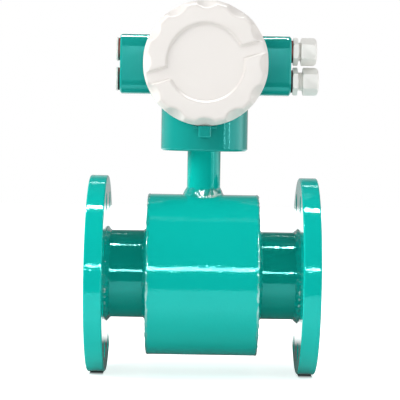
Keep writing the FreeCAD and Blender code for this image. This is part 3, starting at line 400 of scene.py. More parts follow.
@dataclass(frozen=True)
class Metal(Finish):
    """Bare or plated metal: cloudy lustre, and machined lines that stretch the highlights."""

    patch_size: float = 4.0
    patch_share: float = 0.08
    line_pitch: float = 0.35
    line_depth: float = 0.006

    def constants(self) -> dict[str, Any]:
        """Bare metal."""
        return {"Metallic": 1.0}

    def dress(self, skin: Wiring, mm: Socket) -> None:
        """Fine tool lines."""
        skin.bump(skin.waves(mm, self.line_pitch, {"Distortion": 1.5, "Detail": 2.0}), self.line_depth)


@dataclass(frozen=True)
class CopperWinding(Finish):
    """Enamelled copper wire laid turn by turn: reddish metal under amber varnish."""

    patch_size: float = 3.0
    patch_share: float = 0.12
    wire: float = 0.9
    wire_depth: float = 0.25

    def constants(self) -> dict[str, Any]:
        """Metal under varnish."""
        return {"Metallic": 1.0, "Coat Weight": 0.6}

    def dress(self, skin: Wiring, mm: Socket) -> None:
        """Rounded turns one wire apart."""
        turns = skin.waves(mm, self.wire, {"Distortion": 0.4}, bands_direction="Z")
        skin.bump(turns, self.wire_depth)


@dataclass(frozen=True)
class CircuitBoard(Finish):
    """Glass-epoxy board: green solder mask over raised copper tracks."""

    masks: tuple[str, str] = ("#0f5c37", "#146b40")
    tracks: str = "#2c8a58"
    track_pitch: float = 2.54
    track_width: float = 0.22
    track_depth: float = 0.03

    def dress(self, skin: Wiring, mm: Socket) -> None:
        """Right-angled tracks a shade lighter than the mask.

        Args:
            skin: the material's nodes.
            mm: position in millimetres.
        """
        tracks = skin.add("TexBrick", {
            "Vector": mm, "Color1": linear(self.masks[0]), "Color2": linear(self.masks[1]),
            "Mortar": linear(self.tracks), "Scale": 1.0, "Mortar Size": self.track_width,
            "Brick Width": 3 * self.track_pitch, "Row Height": self.track_pitch}).outputs
        skin.drive("Base Color", tracks["Color"])
        skin.bump(tracks["Fac"], self.track_depth)


@dataclass(frozen=True)
class WindowGlass(Finish):
    """Toughened float glass: clear with a slight green body and fine polishing haze."""

    def constants(self) -> dict[str, Any]:
        """Clear body."""
        return {"Transmission Weight": 1.0, "IOR": 1.5}

    def dress(self, skin: Wiring, mm: Socket) -> None:
        """A trace of haze."""
        skin.drive("Roughness", skin.remap(skin.cloud(mm, 0.2, 2.0), (0.0, 1.0, 0.0, self.roughness)))


PIPE_ENAMEL = Enamel("gloss_enamel_on_steel", "#0cc2b6", 0.05, grain_size=2.4, grain_depth=0.12)
FLANGE_ENAMEL = Enamel("gloss_enamel_on_flange", "#0cc4b8", 0.055)
# Painted shade: the tube's enamel is a darker copy of the pipe enamel, standing in for the shade between
# flange and shell.
SHADED_TUBE_ENAMEL = Enamel("gloss_enamel_on_tube_painted_shade", "#0bab9f", 0.055)
WELD_ENAMEL = Enamel("gloss_enamel_on_weld", "#0cb9ae", 0.08, grain_size=1.8, grain_depth=0.4,
                     sheen=WHITE, coat=1.0)
HOUSING_ENAMEL = Enamel("gloss_enamel_on_aluminium", "#1a9f96", 0.1, grain_size=2.0, grain_depth=0.025)
COVER_COAT = PowderCoat("cream_powder_coat", "#e4dfda", 0.42)
NYLON = Plastic("white_nylon", "#fbfaf5", 0.38, softness=0.15)
KEY_RUBBER = Plastic("grey_silicone_keys", "#5b6066", 0.5)
PANEL_ABS = Plastic("dark_grey_moulded_panel", "#3b3f44", 0.42, grain_size=0.5, grain_depth=0.02)
SEGMENT_INK = Plastic("dark_display_segments", "#0d120f", 0.3)
MARK_RUBBER = Plastic("pale_silicone_marks", "#d9dcd9", 0.55)

SLOT_FINISHES: dict[str, Finish] = {
    "pipe_enamel": PIPE_ENAMEL, "housing_enamel": HOUSING_ENAMEL, "cover_enamel": COVER_COAT,
    "white_nylon": NYLON, "bush_plastic": PANEL_ABS, "key_rubber": KEY_RUBBER,
    "liner": Liner("moulded_fluoropolymer", "#e6e6df", 0.36),
    "electrode_steel": Metal("stainless_steel", "#c3c3c1", 0.24),
    "copper_winding": CopperWinding("varnished_copper_wire", "#b4643a", 0.3),
    "core_steel": Metal("rolled_core_steel", "#7c7d7f", 0.42, line_pitch=0.5),
    "zinc_steel": Metal("zinc_plated_steel", "#c9cbc9", 0.3),
    "brass_posts": Metal("nickel_free_brass", "#c9a558", 0.27),
    "circuit_board": CircuitBoard("green_circuit_board", "#12623b", 0.35),
    "terminal_plastic": Plastic("green_terminal_polyamide", "#2f8f4e", 0.4),
    "lcd": Plastic("grey_green_display", "#8d9a86", 0.12, grain_depth=0.0005),
    "black_rubber": Plastic("black_nitrile_rubber", "#1b1b1c", 0.55),
    "window_glass": WindowGlass("toughened_glass", "#eef6f3", 0.02),
    "red_seal": FibreSeal("red_fibre_seal", "#b5433c", 0.6),
}
NODE_FINISHES: dict[str, Finish] = {
    "inlet_flange": FLANGE_ENAMEL, "outlet_flange": FLANGE_ENAMEL, "measuring_tube": SHADED_TUBE_ENAMEL,
}


def dress_cad_nodes() -> None:
    """Give every carried-over solid the finish of its slot, or its own."""
    for part in frame["record"]["subparts"]:
        node = NODES[part["node"]]
        finish = NODE_FINISHES.get(part["node"], SLOT_FINISHES[part["material_slot"]])
        node.data.materials.clear()
        node.data.materials.append(finish.build())


# ------------------------------------------------------------- workshop
MERGE = 0.002 * MM  # points nearer than this are one
RIDGE_FOOT = 0.46  # half the width of a thread ridge's foot, by its pitch


def select_only(piece: Piece) -> None:
    """Make one object the only selected and the active one."""
    bpy.ops.object.select_all(action="DESELECT")
    piece.select_set(True)
    bpy.context.view_layer.objects.active = piece


def fix_place() -> None:
    """Move the place, turn and size of what is selected into its mesh."""
    bpy.ops.object.transform_apply(location=True, rotation=True, scale=True)


def new_form(name: str, primitive: Callable[..., Any], **settings: Any) -> Piece:
    """Add a primitive that is alone selected.

    Args:
        name: name of the form.
        primitive: operator that adds it.
        **settings: what the operator takes.

    Returns:
        The form.
    """
    bpy.ops.object.select_all(action="DESELECT")
    primitive(**settings)
    form = bpy.context.active_object
    form.name = name
    return form


def block(name: str, size: Corner, middle: Corner, turn: float = 0.0) -> Piece:
    """Make a block.

    Args:
        name: name of the block.
        size: along X, Y and Z in millimetres.
        middle: its middle in millimetres.
        turn: its angle about Z in radians.

    Returns:
        The block.
    """
    form = new_form(name, bpy.ops.mesh.primitive_cube_add, size=1, location=[x * MM for x in middle])
    form.dimensions = [x * MM for x in size]
    form.rotation_euler = (0, 0, turn)
    fix_place()
    return form


def rounded_outline(corners: Sequence[Corner], steps: int) -> list[tuple[float, float]]:
    """Round the corners of an outline with arcs.

    Args:
        corners: (radius, height, rounding) in millimetres.
        steps: points on each arc.

    Returns:
        (radius, height) points in metres.
    """
    points: list[tuple[float, float]] = []
    for i, (r, z, rounding) in enumerate(corners):
        here = Vector((r, z))
        if rounding == 0 or i in (0, len(corners) - 1):
            points.append((r * MM, z * MM))
            continue
        before = (Vector(corners[i - 1][:2]) - here).normalized()
        after = (Vector(corners[i + 1][:2]) - here).normalized()
        half = before.angle(after) / 2
        run = rounding / math.tan(half)
        centre = here + (before + after).normalized() * rounding / math.sin(half)
        first, last = here + before * run - centre, here + after * run - centre
        for k in range(steps + 1):
            spoke = first.lerp(last, k / steps).normalized() * rounding
            points.append(tuple((centre + spoke) * MM))
    return points


def turned_form(name: str, corners: Sequence[Corner], segments: int = 96, hollow: bool = False,
                steps: int = 5) -> Piece:
    """Turn a form about Z by extruding a ring from point to point of its outline.

    Args:
        name: name of the form.
        corners: (radius, height, rounding) in millimetres.
        segments: sides of the ring.
        hollow: True if the outline closes on itself clear of the axis.
        steps: points on each rounded corner.

    Returns:
        The closed form.
    """
    outline = rounded_outline(corners, steps)
    radius, height = outline[0]
    form = new_form(name, bpy.ops.mesh.primitive_circle_add, vertices=segments, radius=radius,
                    location=(0, 0, height), fill_type="NOTHING" if hollow else "NGON")
    fix_place()
    bpy.ops.object.mode_set(mode="EDIT")
    bpy.ops.mesh.select_all(action="SELECT")
    for stop, level in [*outline[1:], *(outline[:1] if hollow else ())]:
        bpy.ops.mesh.extrude_region_move(TRANSFORM_OT_translate={"value": (0, 0, level - height)})
        share = stop / radius
        bpy.ops.transform.resize(value=(share, share, 1), center_override=(0, 0, level))
        radius, height = stop, level
    bpy.ops.mesh.select_all(action="SELECT")
    bpy.ops.mesh.remove_doubles(threshold=MERGE)
    bpy.ops.mesh.normals_make_consistent(inside=False)
    bpy.ops.object.mode_set(mode="OBJECT")
    return form


def shape_with(piece: Piece, kind: str, **settings: Any) -> None:
    """Add a modifier and apply it.

    Args:
        piece: what it shapes.
        kind: Blender's name of the modifier.
        **settings: its properties.
    """
    select_only(piece)
    modifier = piece.modifiers.new(kind, kind)
    for key, value in settings.items():
        setattr(modifier, key, value)
    bpy.ops.object.modifier_apply(modifier=modifier.name)


def combine(piece: Piece, tool: Piece, operation: str) -> None:
    """Cut, join or intersect a piece with a tool, which is used up."""
    shape_with(piece, "BOOLEAN", object=tool, operation=operation, solver="EXACT")
    bpy.data.objects.remove(tool)


def join_pieces(pieces: Sequence[Piece], name: str) -> Piece:
    """Make one object from several.

    Args:
        pieces: the objects, the first of which stays.
        name: its new name.

    Returns:
        The object.
    """
    select_only(pieces[0])
    for piece in pieces:
        piece.select_set(True)
    bpy.ops.object.join()
    pieces[0].name = name
    return pieces[0]


def copy_of(piece: Piece, name: str) -> Piece:
    """Copy a piece with a mesh of its own.

    Args:
        piece: what is copied.
        name: name of the copy.

    Returns:
        The copy.
    """
    twin = piece.copy()
    twin.data = piece.data.copy()
    twin.name = name
    bpy.context.scene.collection.objects.link(twin)
    return twin


def seat(piece: Piece, axis: Axis, at: Sequence[float]) -> None:
    """Put a piece in place, in its mesh.

    Args:
        piece: the piece, modelled along +Z.
        axis: direction that it is turned to.
        at: place of its origin in metres.
    """
    select_only(piece)
    piece.rotation_euler = axis.value
    piece.location = at
    fix_place()


def thread_ridge(name: str, root: float, crest: float, pitch: float, low: float,
                 high: float, steps: int = 64) -> Piece:
    """Wind a V-shaped ridge round Z.

    Args:
        name: name of the ridge.
        root: radius at its foot in millimetres.
        crest: radius at its top.
        pitch: rise of each turn.
        low: height where it starts.
        high: height where it ends.
        steps: segments in each turn.

    Returns:
        The closed ridge.
    """
    section, middle = (crest - root) / 1.5, low + pitch / 2
    ridge = new_form(name, bpy.ops.mesh.primitive_circle_add, vertices=3, radius=section * MM,
                     fill_type="NOTHING", location=((crest - section) * MM, 0, middle * MM),
                     rotation=(math.pi / 2, 0, -math.pi / 2))
    fix_place()
    *foot, tip = sorted(ridge.data.vertices, key=lambda v: v.co.x)
    tip.co = (crest * MM, 0.0, middle * MM)
    for side, vertex in zip((-1, 1), sorted(foot, key=lambda v: v.co.z)):
        vertex.co = (root * MM, 0.0, (middle + side * pitch * RIDGE_FOOT) * MM)
    turns = int((high - low - pitch) / pitch)
    shape_with(ridge, "SCREW", axis="Z", screw_offset=pitch * MM, iterations=turns, steps=steps,
               render_steps=steps, use_normal_calculate=True)
    select_only(ridge)
    bpy.ops.object.mode_set(mode="EDIT")
    bpy.ops.mesh.select_all(action="SELECT")
    bpy.ops.mesh.fill_holes(sides=3)
    bpy.ops.mesh.normals_make_consistent(inside=False)
    bpy.ops.object.mode_set(mode="OBJECT")
    return ridge


def hand_over(piece: Piece, finish: Finish, slot: str, body: str, *nodes: str,
              smooth_angle: float = 35.0) -> None:
    """Finish a piece and tie it to the frame.

    Args:
        piece: the piece, in place.
        finish: its finish.
        slot: the record's material slot; not used.
        body: the body that it moves with.
        *nodes: solids that it stands for.
        smooth_angle: faces that meet at less than this many degrees look smooth.
    """
    select_only(piece)
    bpy.ops.object.shade_smooth_by_angle(angle=math.radians(smooth_angle))
    piece.data.materials.clear()
    piece.data.materials.append(finish.build())
    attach(piece, body)
    if nodes:
        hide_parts(*nodes)
    LOG.info("%s: %d faces, rides on %s", piece.name, len(piece.data.polygons), body)


# --------------------------------------------------------- screw covers
@dataclass
class ScrewCover:
    """Cast cover that screws into a mouth of the drum, sizes in millimetres, modelled face up.

    Args:
        node: the solid that it stands for and the body it rides on.
        axis: direction it faces.
    """

    node: str
    axis: Axis
    height: float = 18.0
    edge_drop: float = 6.5
    edge_round: float = 4.0
    face_inset: float = 4.2
    face_round: float = 2.6
    plug_radius: float = 53.7
    plug_length: float = 12.0
    bore_radius: float = 49.0
    thread_depth: float = 0.9
    thread_pitch: float = 2.0
    scoops: int = 12
    scoop_radius: float = 17.0
    scoop_depth: float = 1.2
    scoop_run: float = 8.5
    scoop_length: float = 70.0
    foot_round: float = 0.6
    thread_sink: float = 0.3
    thread_top: float = -1.0
    groove: tuple[float, float, float] = (55.65, 58.35, 2.7)
    rim_growth: float = 0.4
    voxel: float = 0.7
    softening: int = 16
    kept_share: float = 0.5

    def rim_radius(self) -> float:
        """Outer radius, from the frame."""
        low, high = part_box(self.node)
        return (high.x - low.x) / 2 / MM + self.rim_growth

    def seat_point(self) -> Vector:
        """Point on the cover's axis at the level of its rim's seat."""
        low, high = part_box(self.node)
        y = low.y + self.height * MM if self.axis is Axis.FRONT else high.y - self.height * MM
        return Vector(((low.x + high.x) / 2, y, (low.z + high.z) / 2))

    def middle(self) -> list[Corner]:
        """Outline of what fills the face inside its band, from the axis outwards."""
        raise NotImplementedError

    def inside(self) -> list[Corner]:
        """Outline of the hollow under the face, from the plug's end inwards."""
        raise NotImplementedError

    def outline(self) -> list[Corner]:
        """Whole outline, from the face's middle round the rim to the hollow."""
        rim = self.rim_radius()
        inner, outer, depth = self.groove
        root = self.plug_radius - self.thread_depth
        return [*self.middle(), (rim - self.face_inset, self.height, self.face_round),
                (rim, self.height - self.edge_drop, self.edge_round), (rim, 0, self.foot_round),
                (outer, 0, 0), (outer, depth, 0), (inner, depth, 0), (inner, 0, 0),
                (root, 0, 0), (root, -self.plug_length, 0),
                *self.inside()]

    def cut_scoops(self, cover: Piece) -> None:
        """Cut the finger scoops, each a leaning cylinder that dies away towards the rim.

        Args:
            cover: what they are cut from.
        """
        rim = self.rim_radius()
        top = rim - self.face_inset - self.scoop_depth + self.scoop_radius
        lean = math.atan2(rim + self.scoop_radius - top, self.scoop_run)
        first = new_form("scoop_0", bpy.ops.mesh.primitive_cylinder_add, vertices=128,
                         radius=self.scoop_radius * MM, depth=self.scoop_length * MM,
                         location=(top * MM, 0, self.height * MM), rotation=(0, -lean, 0))
        fix_place()
        cutters = [first]
        for i in range(1, self.scoops):
            cutter = copy_of(first, f"scoop_{i}")
            select_only(cutter)
            cutter.rotation_euler = (0, 0, i * math.tau / self.scoops)
            fix_place()
            cutters.append(cutter)
        combine(cover, join_pieces(cutters, "scoops"), "DIFFERENCE")

    def cut_face(self, cover: Piece) -> None:
        """Cut what is not round in the face."""

    def build(self) -> Piece:
        """Model, soften, thread and seat the cover."""
        cover = turned_form(self.node + "_cast", self.outline(), 180, self.is_ring())
        self.cut_scoops(cover)
        self.cut_face(cover)
        shape_with(cover, "REMESH", mode="VOXEL", voxel_size=self.voxel * MM, adaptivity=0.0)
        shape_with(cover, "SMOOTH", factor=0.5, iterations=self.softening)
        shape_with(cover, "DECIMATE", ratio=self.kept_share)
        root = self.plug_radius - self.thread_depth
        ridge = thread_ridge("cover_thread", root - self.thread_sink, self.plug_radius, self.thread_pitch,
                             -self.plug_length + self.thread_sink, self.thread_top, 96)
        cover = join_pieces([cover, ridge], self.node + "_cast")
        seat(cover, self.axis, self.seat_point())
        hand_over(cover, COVER_COAT, "cover_enamel", self.node, self.node, smooth_angle=50.0)
        return cover

    def is_ring(self) -> bool:
        """True if the cover is open in the middle."""
        return False


@dataclass
class BlankCover(ScrewCover):
    """Blank cover with a dished middle and a spanner slot."""

    recess_radius: float = 39.0
    recess_depth: float = 2.8
    recess_draft: float = 1.5
    slot_width: float = 12.6
    slot_angle: float = 16.5
    roof: float = 2.5
    core: float = 4.0
    floor_round: float = 0.8
    brim_round: float = 0.5

    def middle(self) -> list[Corner]:
        """Dish with sloped sides."""
        floor = self.height - self.recess_depth
        return [(self.core, floor, 0), (self.recess_radius - self.recess_draft, floor, self.floor_round),
                (self.recess_radius, self.height, self.brim_round)]

    def inside(self) -> list[Corner]:
        """Plain bore up to the roof."""
        roof = self.height - self.recess_depth - self.roof
        return [(self.bore_radius, -self.plug_length, 0), (self.bore_radius, roof, 0), (self.core, roof, 0)]

    def cut_face(self, cover: Piece) -> None:
        """Cut the spanner slot across the face."""
        size = (2.4 * self.rim_radius(), self.slot_width, 2 * self.recess_depth)
        slot = block("spanner_slot", size, (0, 0, self.height), math.radians(self.slot_angle))
        combine(cover, slot, "DIFFERENCE")


@dataclass
class WindowCover(ScrewCover):
    """Cover with a round window in front of the display."""

    glass_land: float = 8.5
    glass_clearance: float = 0.5
    window_rim: float = 6.0
    bevel: float = 2.0
    bevel_round: float = 0.6

    def window_radius(self) -> float:
        """Radius of the clear window."""
        return self.bore_radius - self.glass_clearance - self.glass_land

    def middle(self) -> list[Corner]:
        """Bevelled edge of the window."""
        radius, floor = self.window_radius(), self.height - self.window_rim
        return [(radius, floor, 0), (radius, self.height - self.bevel, self.bevel_round),
                (radius + self.bevel, self.height, self.bevel_round)]

    def inside(self) -> list[Corner]:
        """Bore up to the glass seat."""
        return [(self.bore_radius, -self.plug_length, 0),
                (self.bore_radius, self.height - self.window_rim, 0)]

    def is_ring(self) -> bool:
        """The window is open."""
        return True


# ---------------------------------------------------------------- welds
@dataclass
class WeldBeads:
    """Hand-laid fillet welds under the enamel, sizes in millimetres."""

    pipe_radius: float = 44.5
    pipe_leg: float = 3.8
    neck_leg: float = 5.0
    neck_lean: float = 0.7
    rim_leg: float = 1.5
    ripple_pitch: float = 3.2
    ripple_height: float = 0.4
    wander: float = 0.8
    lump_size: float = 3.2
    lump_height: float = 1.0
    sway_size: float = 6.0
    ripple_bow: float = 0.35
    ripple_sway: float = 1.2
    steps_per_ripple: int = 6

    def ring(self, name: str, radius: float, leg: float, crown: float = 0.0) -> Piece:
        """Lay a rippled bead round Z, the weld pool's scales one pitch apart.

        Args:
            name: name of the bead.
            radius: to the corner that it fills.
            leg: its reach along both walls of the corner.
            crown: 0 for a flat fillet, 1 for a round bead.

        Returns:
            The bead.
        """
        scales = round(math.tau * radius / self.ripple_pitch)
        ring = new_form(name, bpy.ops.mesh.primitive_torus_add, major_radius=radius * MM,
                        minor_radius=leg * MM, major_segments=scales * self.steps_per_ripple,
                        minor_segments=16)
        for vertex in ring.data.vertices:
            angle = math.atan2(vertex.co.y, vertex.co.x)
            spoke = Vector((math.cos(angle), math.sin(angle), 0))
            spine = spoke * radius * MM
            out = (vertex.co - spine) / (leg * MM)
            flat = 1 / (abs(out.dot(spoke)) + abs(out.z))
            reach = leg * (flat + (1 - flat) * crown)
            sway = noise.noise(Vector((spine.x, spine.y, leg * MM)) / (self.sway_size * MM))
            phase = (angle * scales / math.tau + self.ripple_bow * out.z + self.ripple_sway * sway) % 1.0
            scale = self.ripple_height * (1 - (2 * phase - 1) ** 2)
            lump = noise.noise(vertex.co / (self.lump_size * MM))
            rough = scale + self.wander * sway + self.lump_height * lump
            vertex.co = spine + out * (reach + rough * math.sqrt(leg / self.neck_leg)) * MM
        return ring

    def build(self) -> Piece:
        """Lay every bead and join them."""
        shell_low, shell_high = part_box("outer_shell")
        neck_low, neck_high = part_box("neck_tube")
        flange_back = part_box("inlet_flange")[1].x
        beads = []
        for sign in (-1, 1):
            inner = shell_high.x if sign > 0 else shell_low.x
            for where, level in (("plate", inner), ("flange", -sign * flange_back)):
                bead = self.ring(f"bead_{where}_{sign}", self.pipe_radius, self.pipe_leg)
                seat(bead, Axis.RIGHT, (level, 0, 0))
                beads.append(bead)
            rim = self.ring(f"bead_rim_{sign}", shell_high.y / MM - self.rim_leg, self.rim_leg, crown=1.0)
            seat(rim, Axis.RIGHT, (inner - sign * self.rim_leg * MM, 0, 0))
            beads.append(rim)
        beads.append(self.saddle(shell_high.y, (neck_high.x - neck_low.x) / 2))
        welds = join_pieces(beads, "painted_welds")
        hand_over(welds, WELD_ENAMEL, "pipe_enamel", "sensor", "weld_beads", smooth_angle=80.0)
        return welds

    def saddle(self, shell_radius: float, neck_radius: float) -> Piece:
        """Lay the bead that follows the shell round the neck.

        Args:
            shell_radius: in metres.
            neck_radius: in metres.

        Returns:
            The bead.
        """
        bead = self.ring("bead_neck", neck_radius / MM, self.neck_leg)
        for vertex in bead.data.vertices:
            reach = math.hypot(vertex.co.x, vertex.co.y)
            share = (neck_radius + (reach - neck_radius) * self.neck_lean) / reach
            vertex.co = Vector((vertex.co.x * share, vertex.co.y * share, vertex.co.z / self.neck_lean))
            across = min(abs(vertex.co.y), shell_radius)
            vertex.co.z += math.sqrt(shell_radius ** 2 - across ** 2)
        return bead


# -------------------------------------------------------- cable entries
@dataclass
class CableGland:
    """Moulded cable gland: threaded body with a crown of claws, and a domed cap nut.

    Args:
        row: "upper" or "lower".
    """

    row: str
    flats: float = 24.5
    hexagon: float = 5.0
    spigot: float = 9.9
    spigot_length: float = 10.0
    neck: float = 9.6
    neck_length: float = 9.0
    crown: float = 8.8
    crown_length: float = 4.0
    crown_taper: float = 0.5
    crown_edge: float = 0.6
    bore: float = 6.7
    core: float = 3.0
    thread_depth: float = 0.7
    thread_pitch: float = 1.5
    thread_sink: float = 0.2
    chamfer: float = 0.8
    corner_drop: float = 0.7
    claws: int = 8
    slit: float = 1.0
    nut_length: float = 16.0
    nut_thread: float = 9.9
    nut_thread_depth: float = 11.0
    nut_mouth: float = 6.5
    nut_mouth_length: float = 1.7
    dome: float = 4.5
    nut_bevel: float = 0.45

    def corner(self) -> float:
        """Distance from the axis to a corner of the hexagon."""
        return self.flats / math.sqrt(3)

    def hex_block(self, name: str, height: float) -> Piece:
        """Make a hexagon that stands on the origin.

        Args:
            name: name of the hexagon.
            height: in millimetres.

        Returns:
            The hexagon.
        """
        form = new_form(name, bpy.ops.mesh.primitive_cylinder_add, vertices=6, radius=self.corner() * MM,
                        depth=height * MM, location=(0, 0, height / 2 * MM))
        form.rotation_euler = (0, 0, math.pi / 6)
        fix_place()
        return form

    def axis_point(self) -> Vector:
        """Point on the gland's axis at the foot of its hexagon."""
        low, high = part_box(f"gland_body_{self.row}")
        return Vector((low.x + self.spigot_length * MM, (low.y + high.y) / 2, (low.z + high.z) / 2))

    def build_body(self) -> Piece:
        """Model the body."""
        top = self.hexagon + self.neck_length
        end = top + self.crown_length
        root, shoulder = self.neck - self.thread_depth, 1.0
        outline = [(self.bore, -self.spigot_length, 0), (self.spigot - self.chamfer, -self.spigot_length, 0),
                   (self.spigot, -self.spigot_length + self.chamfer, 0), (self.spigot, shoulder, 0),
                   (root, shoulder, 0), (root, top, 0), (self.crown, top, 0),
                   (self.crown - self.crown_taper, end - self.crown_edge, 0),
                   (self.crown - self.crown_taper - self.crown_edge, end, 0), (self.bore, end, 0)]
        body = turned_form("gland_body", outline, 72, hollow=True)
        hexagon = self.hex_block("gland_hexagon", self.hexagon)
        corner, drop = self.corner(), self.corner_drop
        ring = turned_form("gland_turning", [
            (self.core, 0, 0), (corner - 1.0, 0, 0), (corner, drop, 0), (corner, self.hexagon - drop, 0),
            (corner - 1.0, self.hexagon, 0), (self.core, self.hexagon, 0)])
        combine(hexagon, ring, "INTERSECT")
        drill = new_form("gland_drill", bpy.ops.mesh.primitive_cylinder_add, vertices=72,
                         radius=self.bore * MM, depth=40 * MM)
        combine(hexagon, drill, "DIFFERENCE")
        combine(body, hexagon, "UNION")
        for i in range(self.claws // 2):
            slit = block("slit", (3 * self.crown, self.slit, self.crown_length - 1),
                         (0, 0, end - self.crown_length / 2 + 0.5), math.pi * i / (self.claws // 2))
            combine(body, slit, "DIFFERENCE")
        ridge = thread_ridge("gland_thread", root - self.thread_sink, self.neck, self.thread_pitch,
                             self.hexagon + self.thread_sink, top)
        body = join_pieces([body, ridge], f"moulded_gland_body_{self.row}")
        seat(body, Axis.RIGHT, self.axis_point())
        hand_over(body, NYLON, "white_nylon", "sensor", f"gland_body_{self.row}")
        return body

    def build_nut(self) -> Piece:
        """Model the cap nut."""
        corner, past = self.corner(), 1.0
        nut = self.hex_block("nut_block", self.nut_length)
        dome = turned_form("nut_dome", [
            (self.core, 0, 0), (corner - 0.9, 0, 0), (corner, self.corner_drop, 0),
            (corner, self.nut_length, self.dome), (self.core, self.nut_length, 0)], steps=8)
        combine(nut, dome, "INTERSECT")
        inside = turned_form("nut_inside", [
            (self.core, -past, 0), (self.nut_thread, -past, 0), (self.nut_thread, self.nut_thread_depth, 0),
            (self.nut_mouth, self.nut_length - self.nut_mouth_length, 0),
            (self.nut_mouth, self.nut_length + past, 0), (self.core, self.nut_length + past, 0)], 72)
        combine(nut, inside, "DIFFERENCE")
        shape_with(nut, "BEVEL", width=self.nut_bevel * MM, segments=3, limit_method="ANGLE",
                   angle_limit=math.radians(34))
        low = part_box(f"gland_nut_{self.row}")[0]
        at = self.axis_point()
        nut.name = f"moulded_gland_nut_{self.row}"
        seat(nut, Axis.RIGHT, (low.x, at.y, at.z))
        hand_over(nut, NYLON, "white_nylon", f"gland_nut_{self.row}", f"gland_nut_{self.row}")
        return nut


@dataclass
class BlankingPlug:
    """Round-headed plug with a coin slot.

    Args:
        row: "upper" or "lower".
    """

    row: str
    head: float = 12.0
    head_height: float = 2.6
    spigot: float = 9.9
    spigot_length: float = 10.0
    core: float = 2.0
    head_round: float = 1.1
    foot_round: float = 0.3
    tip_round: float = 0.6
    slot_width: float = 2.4
    slot_length: float = 16.0
    slot_depth: float = 1.2

    def build(self) -> Piece:
        """Model the plug."""
        outline = [(self.core, self.head_height, 0), (self.head, self.head_height, self.head_round),
                   (self.head, 0, self.foot_round), (self.spigot, 0, 0),
                   (self.spigot, -self.spigot_length, self.tip_round), (self.core, -self.spigot_length, 0)]
        plug = turned_form("plug", outline)
        slot = block("coin_slot", (self.slot_width, self.slot_length, 2 * self.slot_depth),
                     (0, 0, self.head_height))
        combine(plug, slot, "DIFFERENCE")
        low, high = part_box(f"blanking_plug_{self.row}")
        plug.name = f"moulded_plug_{self.row}"
        seat(plug, Axis.LEFT, (low.x + self.head_height * MM, (low.y + high.y) / 2, (low.z + high.z) / 2))
        hand_over(plug, NYLON, "white_nylon", "sensor", f"blanking_plug_{self.row}")
        return plug


# ---------------------------------------------------------- display face
@dataclass
class DisplayFace:
    """Segments of the display and the raised marks on the keys, sizes in millimetres."""

    digits: int = 5
    digit_pitch: float = 9.5
    digit_width: float = 5.0
    digit_height: float = 10.0
    stroke: float = 1.5
    bar_width: float = 44.0
    bar_drop: float = 10.5
    thickness: float = 0.2
    segment_edge: float = 0.05
    raise_digits: float = 2.0
    mark_radius: float = 2.0
    mark_depth: float = 0.3
    mark_edge: float = 0.12
    mark_lift: float = 0.05

    def bar(self, length: float, across: float, along: float, up: float) -> Piece:
        """Lay a bar of a length and width, with its middle at x and z, on the plane y = 0."""
        return block("bar", (length, self.thickness, across), (along, 0, up))

    def digit(self, middle: float) -> list[Piece]:
        """Lay the seven bars of a digit.

        Args:
            middle: x of the digit in millimetres.

        Returns:
            The bars.
        """
        half, stroke = self.digit_height / 2, self.stroke
        side = half - 1.3 * stroke
        level = self.digit_width - 1.4 * stroke
        return ([self.bar(level, stroke, middle, up) for up in (-half, 0, half)]
                + [self.bar(stroke, side, middle + x, z)
                   for x in (-self.digit_width / 2, self.digit_width / 2) for z in (-half / 2, half / 2)])

    def build_segments(self) -> Piece:
        """Model every segment as one piece on the display's glass."""
        low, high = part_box("lcd_module")
        bars = [self.bar(self.bar_width, self.stroke, 0, -self.bar_drop)]
        for i in range(self.digits):
            bars += self.digit((i - (self.digits - 1) / 2) * self.digit_pitch)
        segments = join_pieces(bars, "display_segments")
        shape_with(segments, "BEVEL", width=self.segment_edge * MM, segments=1, limit_method="ANGLE")
        seat(segments, Axis.UP, (0, high.y + self.thickness / 2 * MM,
                                 (low.z + high.z) / 2 + self.raise_digits * MM))
        hand_over(segments, SEGMENT_INK, "lcd", "sensor")
        return segments

    def build_mark(self, key: str, sides: int, turn: float) -> Piece:
        """Model the raised mark of a key.

        Args:
            key: the key's node and body.
            sides: corners of the mark.
            turn: its angle in degrees.

        Returns:
            The mark.
        """
        low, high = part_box(key)
        mark = new_form(key + "_mark", bpy.ops.mesh.primitive_cylinder_add, vertices=sides,
                        radius=self.mark_radius * MM, depth=self.mark_depth * MM)
        mark.rotation_euler = (0, 0, math.radians(turn))
        fix_place()
        shape_with(mark, "BEVEL", width=self.mark_edge * MM, segments=2, limit_method="ANGLE")
        seat(mark, Axis.REAR, ((low.x + high.x) / 2, high.y + self.mark_lift * MM, (low.z + high.z) / 2))
        hand_over(mark, MARK_RUBBER, "key_rubber", key)
        return mark

    def build(self) -> None:
        """Model the segments and all marks."""
        self.build_segments()
        for i, (sides, turn) in enumerate(((3, 90), (3, 0), (3, 180), (4, 45)), start=1):
            self.build_mark(f"key_{i}", sides, turn)


